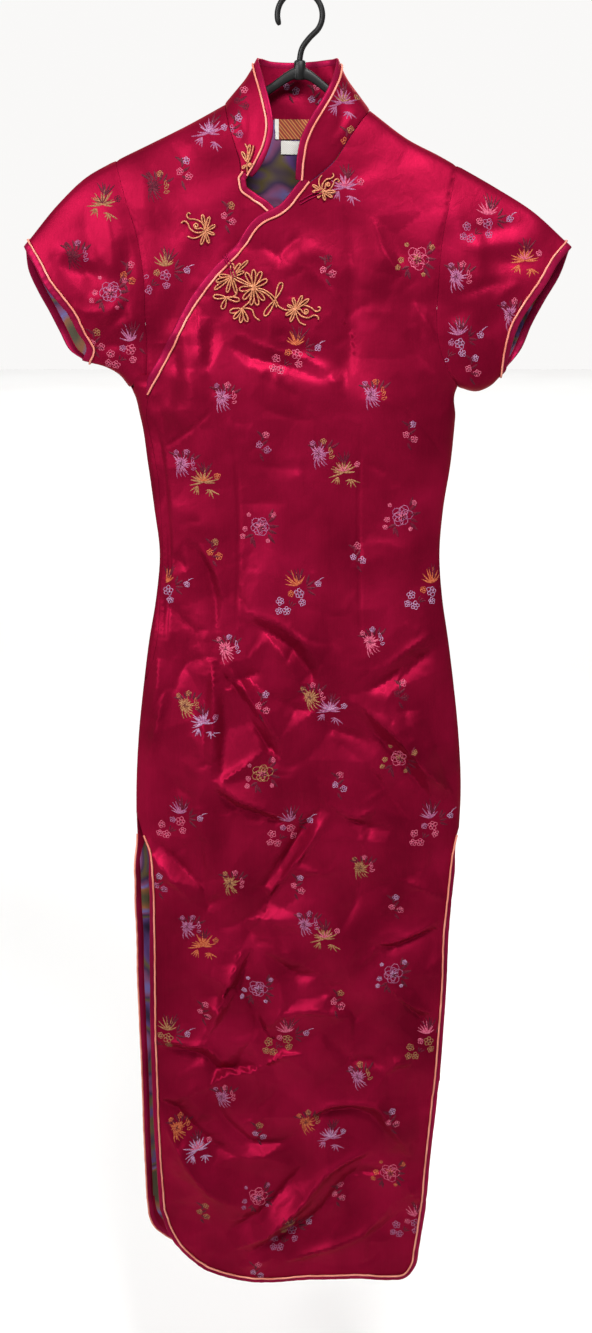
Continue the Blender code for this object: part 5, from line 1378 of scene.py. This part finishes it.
def sprig(colour, accent):
    strokes = [petal(-3, 4 - 4 * n, 130 - 50 * n, 8, 2.8, "tonal", 0.3) for n in range(5)]
    return strokes + blossom(0, 6, 6, accent) + blossom(-5, -4, 5.5, colour) + blossom(3, -8, 6, colour)


# What is woven where: kind, then x, z, main thread and second thread of each.
MOTIFS = [
    (chrysanthemum, [(-83, -407, "mauve", "pink"), (75, -404, "mauve", "orange"),
        (-82, -686, "pink", "lilac"), (78, -678, "pink", "lilac"), (-80, -962, "gold", "pink"),
        (69, -944, "gold", "pink"), (-92, -1235, "mauve", "pink"), (69, -1206, "mauve", "gold")]),
    (peony, [(122, -262, "pink", "gold"), (-43, -546, "mauve", "pink"), (111, -535, "mauve", "pink"),
        (-42, -827, "gold", "pink"), (113, -812, "pink", "gold"), (-48, -1093, "mauve", "lilac"),
        (109, -1074, "mauve", "lilac"), (-50, -1362, "pink", "mauve"), (109, -1335, "pink", "orange")]),
    (bamboo_and_plum, [(-141, -289, "gold", "mauve"), (-4, -355, "orange", "pink"),
        (-147, -616, "orange", "lilac"), (-2, -616, "orange", "lilac"), (145, -616, "orange", "lilac"),
        (-136, -883, "mauve", "pink"), (-11, -889, "mauve", "pink"), (150, -889, "mauve", "pink"),
        (-155, -1151, "gold", "gold"), (-15, -1151, "pink", "gold"), (151, -1157, "pink", "gold"),
        (-11, -1410, "gold", "mauve"), (140, -1400, "pink", "mauve")]),
    (spiked_leaf, [(47, -188, "mauve", "pink"), (-104, -495, "gold", "orange"), (47, -484, "gold", "pink"),
        (-108, -767, "lilac", "mauve"), (34, -753, "mauve", "lilac"), (-112, -1037, "orange", "orange"),
        (29, -1024, "gold", "pink"), (-122, -1301, "lilac", "pink"), (37, -1284, "mauve", "lilac")]),
    (chrysanthemum, [(-128, -480, "mauve", "mauve"), (20, -468, "mauve", "gold"),
        (-128, -752, "gold", "gold"), (12, -742, "gold", "pink"), (-130, -1018, "mauve", "mauve"),
        (6, -1012, "mauve", "mauve"), (-146, -1278, "orange", "orange"), (8, -1268, "orange", "gold")]),
    (sprig, [(-37, -452, "mauve", "pink"), (120, -441, "pink", "lilac"), (-92, -570, "orange", "gold"),
        (64, -575, "lilac", "pink"), (-39, -742, "pink", "lilac"), (115, -730, "tonal", "pink"),
        (46, -836, "lilac", "pink"), (112, -987, "pink", "lilac"), (47, -1106, "pink", "gold"),
        (-110, -1119, "pink", "pink"), (-47, -1275, "lilac", "gold"), (111, -1255, "pink", "lilac"),
        (-114, -1382, "gold", "gold"), (49, -1362, "pink", "pink"), (30, -268, "pink", "tonal"),
        (-160, -960, "mauve", "lilac"), (0, -960, "pink", "lilac"), (-50, -1462, "lilac", "pink")]),
]
UNDERLAP_MOTIFS = [
    (spiked_leaf, [(-94, -134, "mauve", "lilac")]),
    (bamboo_and_plum, [(-141, -274, "gold", "mauve")]),
    (chrysanthemum, [(-152, -192, "tonal", "gold")]),
    (sprig, [(-72, -215, "pink", "gold"), (-118, -170, "pink", "lilac")]),
]
UPPER_BACK_MOTIFS = [
    (chrysanthemum, [(-75, -155, "mauve", "pink"), (80, -150, "mauve", "orange")]),
    (peony, [(-120, -262, "pink", "gold"), (38, -272, "pink", "mauve")]),
    (bamboo_and_plum, [(-40, -345, "orange", "pink"), (120, -340, "gold", "lilac")]),
    (spiked_leaf, [(-20, -215, "gold", "orange"), (128, -205, "lilac", "pink")]),
]
SLEEVE_MOTIFS = [
    (peony, [(-199, -296, "mauve", "pink")]),
    (chrysanthemum, [(163, -283, "mauve", "pink"), (-238, -262, "tonal", "mauve"),
        (222, -322, "mauve", "pink")]),
    (spiked_leaf, [(-205, -205, "gold", "tonal"), (236, -262, "orange", "pink")]),
    (sprig, [(-178, -275, "orange", "pink"), (186, -372, "pink", "lilac"), (-215, -345, "pink", "gold")]),
    (bamboo_and_plum, [(196, -222, "pink", "mauve"), (-180, -352, "mauve", "pink"),
        (168, -345, "mauve", "lilac")]),
]
COLLAR_MOTIFS = [
    (sprig, [(-64, -128, "mauve", "lilac"), (52, -140, "orange", "gold"), (-8, -84, "lilac", "lilac"),
        (18, -96, "lilac", "pink"), (-58, -100, "tonal", "pink")]),
    (spiked_leaf, [(44, -104, "mauve", "gold")]),
]


def sampler(*pieces):
    """Finds the outermost point of the pieces' skin on a line through the dress from front or back."""
    points, faces = [], []
    for piece in pieces:
        start = len(points)
        points += [vertex.co for vertex in piece.data.vertices]
        faces += [[start + i for i in face.vertices] for face in piece.data.polygons]
    tree_of_faces = BVHTree.FromPolygons(points, faces)

    def skin(flat, side):
        found, normals = [], []
        for x, z in flat:
            start = Vector((x * MM, side * 0.5, z * MM))
            hit, normal, _, _ = tree_of_faces.ray_cast(start, Vector((0, -side, 0)))
            if hit is None:
                return None, None
            found.append(hit / MM)
            normals.append(normal if normal.y * side > 0 else -normal)
        return np.array(found), np.array(normals)

    return skin


def weave_motifs(name, skin, side, groups, moved=(0, 0)):
    """All motifs of one piece of cloth as low, rounded floats on its skin."""
    points, faces, colours = [], [], []
    for kind, places in groups:
        for number, (x, z, colour, accent) in enumerate(places):
            turn = math.radians(-8 + 5 * (number % 4))
            for stroke in kind(colour, accent):
                line = stroke.line * MOTIF_SIZE
                cx = line[:, 0] * math.cos(turn) - line[:, 1] * math.sin(turn)
                cz = line[:, 0] * math.sin(turn) + line[:, 1] * math.cos(turn)
                line = np.stack([x + moved[0] + cx, z + moved[1] + cz], axis=1)
                run = unit(np.gradient(line, axis=0))
                over = np.stack([-run[:, 1], run[:, 0]], axis=1) * (stroke.widths * MOTIF_SIZE / 2)[:, None]
                rows = []
                for share, rise in ((-1, -0.12), (-0.45, 1), (0.45, 1), (1, -0.12)):
                    on_cloth, normals = skin(line + over * share, side)
                    if on_cloth is None:
                        break
                    height = rise * THREAD_RISE + (stroke.lift if rise > 0 else 0.0)
                    rows.append(on_cloth + normals * height)
                if len(rows) < 4 or np.abs(np.diff(rows[1][:, 1])).max() > 4:
                    continue
                start, count = len(points), len(line)
                points += list(np.concatenate(rows))
                for row in range(3):
                    for i in range(count - 1):
                        a, b = start + row * count + i, start + (row + 1) * count + i
                        faces.append([a, a + 1, b + 1, b])
                        colours.append(THREAD_NAMES.index(stroke.colour))
    made = made_piece(name, points, faces, THREADS["tonal"], smooth_below=80)
    for colour in THREAD_NAMES[1:]:
        made.data.materials.append(THREADS[colour])
    made.data.polygons.foreach_set("material_index", colours)
    return made


front_skin = sampler(front)
motifs = {
    "front": weave_motifs("motifs_front", front_skin, -1, MOTIFS),
    "underlap": weave_motifs("motifs_underlap", sampler(underlap), -1, UNDERLAP_MOTIFS),
    "back": weave_motifs("motifs_back", sampler(back), 1, MOTIFS + UPPER_BACK_MOTIFS, (-9, 31)),
    "collar": weave_motifs("motifs_collar", sampler(collar), -1, COLLAR_MOTIFS),
    "collar_back": weave_motifs("motifs_collar_back", sampler(collar), 1, COLLAR_MOTIFS),
}
for side in ("right", "left"):
    skin = sampler(sleeves[side])
    for facing, view in ((-1, "front"), (1, "back")):
        motifs[side + view] = weave_motifs(f"motifs_sleeve_{side}_{view}", skin, facing, SLEEVE_MOTIFS)


# ---------------------------------------------------------------- cord frogs
# Flowers bent from a 1.6 mm gold satin cord over wire: each petal is a loop with its two strands side by
# side, sewn down at the flower's heart. The bud flowers end in two curled lids round an eye. Two dark
# red cord loops tie the group and the neck's flower down across the bindings.

CORD_RADIUS = 0.78

gold_cord, tree, shader = new_material(
    "gold satin frog cord", Roughness=0.42, Metallic=0.2, Specular_IOR_Level=0.4)
turns = noise(tree, 0.0016, 1.5)
coloured(tree, shader, turns, [(0.34, "#8E5238"), (0.66, "#C8845C")])
raised(tree, shader, turns, 0.5, 0.0003)


def loop_petal(x, z, tip_x, tip_z, width=3.2):
    """The cord's path round one petal: out from the heart along one side and back along the other."""
    t = np.linspace(0, 1, 17)
    out = 0.5 - 0.5 * np.cos(2 * math.pi * t)
    swing = np.sin(2 * math.pi * t) * width / 2 * (0.35 + 1.0 * out)
    run = np.array([tip_x - x, tip_z - z], float)
    over = np.array([-run[1], run[0]]) / math.hypot(*run)
    return np.array([x, z]) + run * out[:, None] + over * swing[:, None]


def spiral(x, z, radius, start):
    """The eye of a bud: the cord's end wound up."""
    t = np.linspace(0, 1, 20)
    turn = start + t * 9.0
    reach = radius * (1 - 0.75 * t)
    return np.stack([x + reach * np.cos(turn), z + reach * np.sin(turn)], axis=1)


def bud_flower(x, z, degrees, size=1.0, flip=1):
    """The frog's bud: an eye between two curled lids along its axis, and six petals behind them."""
    axis = math.radians(degrees)

    def placed(points):
        u, v = np.asarray(points, float).T * size
        v = v * flip
        across_dress = x + u * math.cos(axis) - v * math.sin(axis)
        return np.stack([across_dress, z + u * math.sin(axis) + v * math.cos(axis)], axis=1)

    def petal_to(u, v, width):
        (tip_x, tip_z), = placed([(u, v)])
        return loop_petal(x, z, tip_x, tip_z, width * size)

    lids = [[(1, 1.5), (7.5, 5.6), (16, 4.8), (21, 2.6), (24.5, 4.6), (24, 8.0), (21.8, 7.4)],
            [(1, -1.5), (7, -5.6), (15.4, -5.4), (20, -1.8), (24.5, -2.2), (25.6, -5.0)],
            [(0.5, -2.5), (3.5, -8.5), (8.5, -12.8), (14, -13.6)]]
    paths = [cut(placed(lid), 1.4) for lid in lids]
    paths.append(cut(placed([(1.5, 0), (5.0, 0.6), (8.0, -1.9)]), 1.2))
    paths.append(placed(spiral(10.8, 0.2, 3.1, math.radians(215))))
    return paths + [petal_to(10.5, 13.0, 3.0), petal_to(3.2, 14.6, 2.8), petal_to(-5.8, 10.0, 2.8),
                    petal_to(-9.6, 1.5, 2.4), petal_to(-8.6, -8.8, 2.6), petal_to(-2.4, -14.0, 2.8)]


def open_flower(x, z, tips):
    """Looped petals round one heart, each with the place of its tip and its width."""
    return [loop_petal(x, z, *tip) for tip in tips]


def sewn_cord(name, paths, skin, nodes, side=-1, heights=(1.3, 2.2), finish=gold_cord):
    """All strands of one frog as tubes that follow the cloth, crossing over one another."""
    points, faces = [], []
    for number, path in enumerate(paths):
        on_cloth, normals = skin(path, side)
        if on_cloth is None:
            continue
        facing = unit(np.tile(normals.mean(axis=0), (len(path), 1)) + 0.4 * normals)
        lift = heights[number % 2] + 0.25 * np.sin(np.linspace(0, math.pi, len(path)))
        rings = tube_rings(on_cloth + facing * lift[:, None], facing, CORD_RADIUS, sides=8)
        count, corners = rings.shape[:2]
        start = len(points)
        points += list(rings.reshape(-1, 3))
        faces += [[start + i for i in quad] for quad in tube_faces(count, corners)]
        faces.append([start + a for a in range(corners)][::-1])
        faces.append([start + (count - 1) * corners + a for a in range(corners)])
    made = made_piece(name, points, faces, finish, smooth_below=70)
    if nodes:
        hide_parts(*nodes)
    return made


dressed_skin = sampler(front, underlap, *trims["overlap"])
collar_skin = sampler(collar, *trims["collar"])
UPPER_PETALS = [(-70, -267, 3.6), (-62, -267, 3.4), (-54, -264, 2.8), (-58, -275, 2.8), (-84, -279, 3.4),
                (-87, -285, 3.8), (-89, -293, 3.4), (-76, -296, 3.2), (-66, -297, 3.2)]
MAIN_PETALS = [(-56, -276, 4.4), (-48, -273, 4.4), (-40, -275, 4.6), (-34, -283, 4.6), (-63, -293, 5.2),
               (-59, -303, 4.4), (-51, -309, 4.0), (-44, -309, 4.6), (-37, -304, 4.6)]
LOWER_PETALS = [(-73, -316, 5.0), (-69, -323, 3.6), (-62, -327, 3.6), (-55, -326, 4.0)]
frogs = {
    "front": [
        sewn_cord("frog_cord_neck", bud_flower(23, -194, 48, 0.8, -1), dressed_skin,
                  ("frog_flower_neck", "frog_flower_neck_knob")),
        sewn_cord("frog_cord_upper", open_flower(-71, -280, UPPER_PETALS), dressed_skin,
                  ("frog_flower_upper", "frog_flower_upper_knob")),
        sewn_cord("frog_cord_main",
                  open_flower(-48, -291, MAIN_PETALS) + [loop_petal(-47, -291, -70, -280, 3.0)],
                  dressed_skin, ("frog_flower_main", "frog_flower_main_knob")),
        sewn_cord("frog_cord_lower", open_flower(-60, -313, LOWER_PETALS)
                  + [cut([(-60, -312), (-50, -314), (-47, -321), (-42, -325)], 1.4),
                     cut([(-50, -293), (-51, -303), (-60, -312)], 1.4)],
                  dressed_skin, ("frog_flower_lower", "frog_flower_lower_knob")),
        sewn_cord("frog_cord_end", bud_flower(-4, -313, -14), dressed_skin,
                  ("frog_flower_end", "frog_flower_end_knob")),
        sewn_cord("frog_cord_stem", [
            cut([(-46, -291), (-36, -294), (-26, -302), (-22, -310), (-15, -314), (-5, -313)], 1.5),
            cut([(-46, -293), (-37, -296), (-28, -304), (-24, -311)], 1.5)], dressed_skin, ("frog_stem",)),
        sewn_cord("frog_cord_leaf_upper", [loop_petal(-25, -302, -19, -286, 5.2)], dressed_skin,
                  ("frog_leaf_upper",)),
        sewn_cord("frog_cord_leaf_lower", [loop_petal(-26, -304, -37, -320, 5.2)], dressed_skin,
                  ("frog_leaf_lower",)),
        sewn_cord("frog_cord_leaf_side", [
            loop_petal(-77, -301, -90, -300, 4.6), loop_petal(-77, -301, -63, -304, 4.6),
            loop_petal(-77, -302, -81, -313, 4.6),
            cut([(-66, -294), (-66, -297), (-72, -301), (-77, -301)], 1.4)],
                  dressed_skin, ("frog_leaf_side",)),
    ],
    "underlap": [
        sewn_cord("frog_cord_chest", bud_flower(-98, -234, 151, 1.0, -1), sampler(underlap),
                  ("frog_flower_chest", "frog_flower_chest_knob")),
    ],
    "collar": [
        sewn_cord("frog_cord_collar", [
            cut([(-54, -175), (-54, -168), (-52, -160), (-53, -153), (-56, -147)], 1.2),
            cut([(-53, -166), (-50, -160), (-48, -154), (-47, -149)], 1.2),
            loop_petal(-54, -165, -59, -155, 2.6), loop_petal(-53, -163, -51, -148, 2.6),
            loop_petal(-55, -168, -59, -171, 2.2), spiral(-51, -168, 2.0, 0)],
                  collar_skin, ("frog_flower_collar", "frog_flower_collar_knob")),
    ],
}
loop_skin = sampler(front, underlap, *trims["overlap"], *frogs["front"])
for name, tie in (
        ("group", [[(-80, -259), (-75, -267), (-69, -281)], [(-77, -257), (-72, -266), (-66, -280)]]),
        ("neck", [[(-1, -204), (8, -199), (22, -193)], [(0, -207), (9, -202), (23, -196)]])):
    strands = [cut(strand, 1.4) for strand in tie]
    frogs["front"].append(sewn_cord(
        "frog_tie_" + name, strands, loop_skin, (), heights=(0.7, 0.7), finish=bias_satin))


# ---------------------------------------------------------------- label and size tape
# A bare woven damask label sewn into the back neck, in a diagonal weave of orange, rust and straw with
# a white edge, and a blank white cotton tape under it.

LABEL = (-26, 23, -121, -141)  # left, right, top, bottom
SIZE_TAG = (-20, 12, -142.5, -156)
LABEL_THICKNESS = 0.7
LABEL_GAP = 0.7  # it stands a little off the lining between its stitches

damask, tree, shader = new_material("woven damask label", Roughness=0.75, Sheen_Weight=0.2)
place = node(tree, "ShaderNodeTexCoord").outputs["Object"]
slanted = node(tree, "ShaderNodeMapping", {"Rotation": (0.0, math.radians(40), 0.0)}, {"Vector": place})
bands = node(tree, "ShaderNodeTexWave", {"Scale": math.pi / (10 * 0.0056), "Distortion": 0.6},
             {"Vector": slanted.outputs[0]})
weave_tone = node(tree, "ShaderNodeValToRGB", {"stops": [
    (0.1, linear("#8A2E20")), (0.4, linear("#BC5A30")), (0.65, linear("#C8984E")), (0.9, linear("#8A3424"))]},
                  {"Fac": bands.outputs["Fac"]})
sides = node(tree, "ShaderNodeSeparateXYZ", {}, {"Vector": place})
edge_strip = node(tree, "ShaderNodeMath", {"operation": "LESS_THAN", 1: (LABEL[0] + 4) * MM},
                  {0: sides.outputs["X"]})
striped = node(tree, "ShaderNodeMix", {"data_type": "RGBA", 7: linear("#E8E4DC")},
               {0: edge_strip.outputs[0], 6: weave_tone.outputs["Color"]})
tree.links.new(striped.outputs[2], shader.inputs["Base Color"])
raised(tree, shader, bands.outputs["Fac"], 0.5, 0.0002)

cotton, tree, shader = new_material("white cotton tape", Roughness=0.85, Sheen_Weight=0.2)
place = node(tree, "ShaderNodeTexCoord").outputs["Object"]
twill_place = node(tree, "ShaderNodeMapping", {"Rotation": (0.0, math.radians(45), 0.0)}, {"Vector": place})
twill = node(tree, "ShaderNodeTexWave", {"Scale": math.pi / (10 * 0.0014)},
             {"Vector": twill_place.outputs[0]}).outputs["Fac"]
coloured(tree, shader, twill, [(0.0, "#CFCBC4"), (1.0, "#ECE9E2")])
raised(tree, shader, twill, 0.4, 0.0002)

labels = []
for name, (left, right, top, bottom), finish, lean in (
        ("label", LABEL, damask, 0.0), ("size_tag", SIZE_TAG, cotton, -0.02)):
    depth = WALL + SEAM_GAP + LINING_WALL + LABEL_GAP
    rows, columns = 9, 19
    xs, zs = np.meshgrid(np.linspace(left, right, columns), np.linspace(top, bottom, rows))
    flat = np.stack([xs.ravel(), zs.ravel() + lean * (xs.ravel() - left)], axis=1)
    outer, normals = lay(back_y, flat)
    wave = 0.25 * np.sin(xs.ravel() * 0.35) * (zs.ravel() < top - 1)  # below the stitched top edge
    outer = outer - normals * (depth + wave)[:, None]
    inner = outer - normals * LABEL_THICKNESS
    made = open_wall("woven_" + name, outer.reshape(rows, columns, 3), inner, finish, smooth_below=50)
    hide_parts(name)
    labels.append(made)


# ---------------------------------------------------------------- hanger
# One moulding in black polypropylene: two thin sloping arms, a round boss in the middle, and the rod
# bent round to the hook. The mould leaves it smooth with a fine even grain.

HOOK_ROD_RADIUS = 3.0
HOOK_INNER_RADIUS = 20.0
ARM_HALF_DEPTH = 3.2
ARM_TOP = [
    (-190, -171), (-156, -153), (-116, -134), (-78, -119), (-31, -87), (0, -70), (31, -89), (73, -126),
    (112, -150), (146, -166), (175, -182), (192, -190),
]

moulded_black, tree, shader = new_material(
    "moulded black polypropylene", Roughness=0.45, Specular_IOR_Level=0.35)
coloured(tree, shader, noise(tree, 0.03), [(0.3, "#080808"), (0.7, "#0E0D0D")])
raised(tree, shader, noise(tree, 0.0011), 0.25, 0.0001)

arm_line = cut(ARM_TOP, 5.0)
arm_rings = []
for x, z in arm_line:
    height = 8.0 + 4.0 * math.exp(-abs(x) / 60)
    ring = []
    for a in np.linspace(0, 2 * math.pi, 17)[:-1]:
        out_y = ARM_HALF_DEPTH * math.copysign(abs(math.cos(a)) ** 0.55, math.cos(a))
        up = math.copysign(abs(math.sin(a)) ** 0.6, math.sin(a))
        ring.append((x, out_y, z + height / 2 * (up - 1)))
    arm_rings.append(ring)
hanger = sweep("hanger_moulding", arm_rings, moulded_black)
bend = HOOK_INNER_RADIUS + HOOK_ROD_RADIUS
turn = np.radians(np.linspace(-40, 205, 50))
bow = np.stack([np.cos(turn) * bend, np.zeros_like(turn), np.sin(turn) * bend - HOOK_INNER_RADIUS], axis=1)
rise = along([(0, -76), (0, -62), (2, -53), (9, -43), tuple(bow[0, [0, 2]])], np.linspace(0, 1, 20))
stem = np.stack([rise[:, 0], np.zeros(len(rise)), rise[:, 1]], axis=1)
path = np.vstack([stem[:-1], bow])
thickness = np.full(len(path), HOOK_ROD_RADIUS)
thickness[-3:] = HOOK_ROD_RADIUS * np.array([0.98, 0.85, 0.55])
forward = np.tile([0.0, -1.0, 0.0], (len(path), 1))
rod = sweep("hanger_rod", tube_rings(path, forward, thickness, sides=20), moulded_black)
boss_profile = [(5.0, -83.0), (6.0, -82.0), (6.0, -65.5), (5.2, -64.2), (4.0, -63.6)]
boss_rings = [[(r * math.cos(a), 0.74 * r * math.sin(a), z) for a in np.linspace(0, 2 * math.pi, 25)[:-1]]
              for r, z in boss_profile]
boss = sweep("hanger_boss", boss_rings, moulded_black)
for part in (rod, boss):
    union = hanger.modifiers.new("join " + part.name, "BOOLEAN")
    union.operation = "UNION"
    union.solver = "EXACT"
    union.object = part
bpy.context.view_layer.update()
whole = bpy.data.meshes.new_from_object(hanger.evaluated_get(bpy.context.evaluated_depsgraph_get()))
hanger.modifiers.clear()
hanger.data = whole
whole.shade_smooth()
whole.set_sharp_from_angle(angle=math.radians(50))
for part in (rod, boss):
    bpy.data.objects.remove(part)
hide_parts("hanger")


# ---------------------------------------------------------------- cut sizes of the cloth
# Each sheet's flat size is what its pattern measures before sewing, without turnings. Front, back and
# underlap hang from the hanger; the other pieces are held by the seams that join them to those.

hanging = "hanger_moulding"
for piece, flat, faces, rests_on, with_pieces in (
    (front, front_flat, front_faces, ["back_satin", hanging],
     [motifs["front"], *trims["overlap"], *trims["front_skirt"], *frogs["front"]]),
    (underlap, underlap_flat, underlap_faces, ["back_satin", hanging],
     [motifs["underlap"], *trims["underlap"], *frogs["underlap"]]),
    (back, back_flat, back_faces, [hanging], [motifs["back"], *trims["back_skirt"], *labels]),
):
    width, length, area = cut_size(piece, flat, faces)
for sleeve in SLEEVES:
    rings = sleeve_skins[sleeve.side][0]
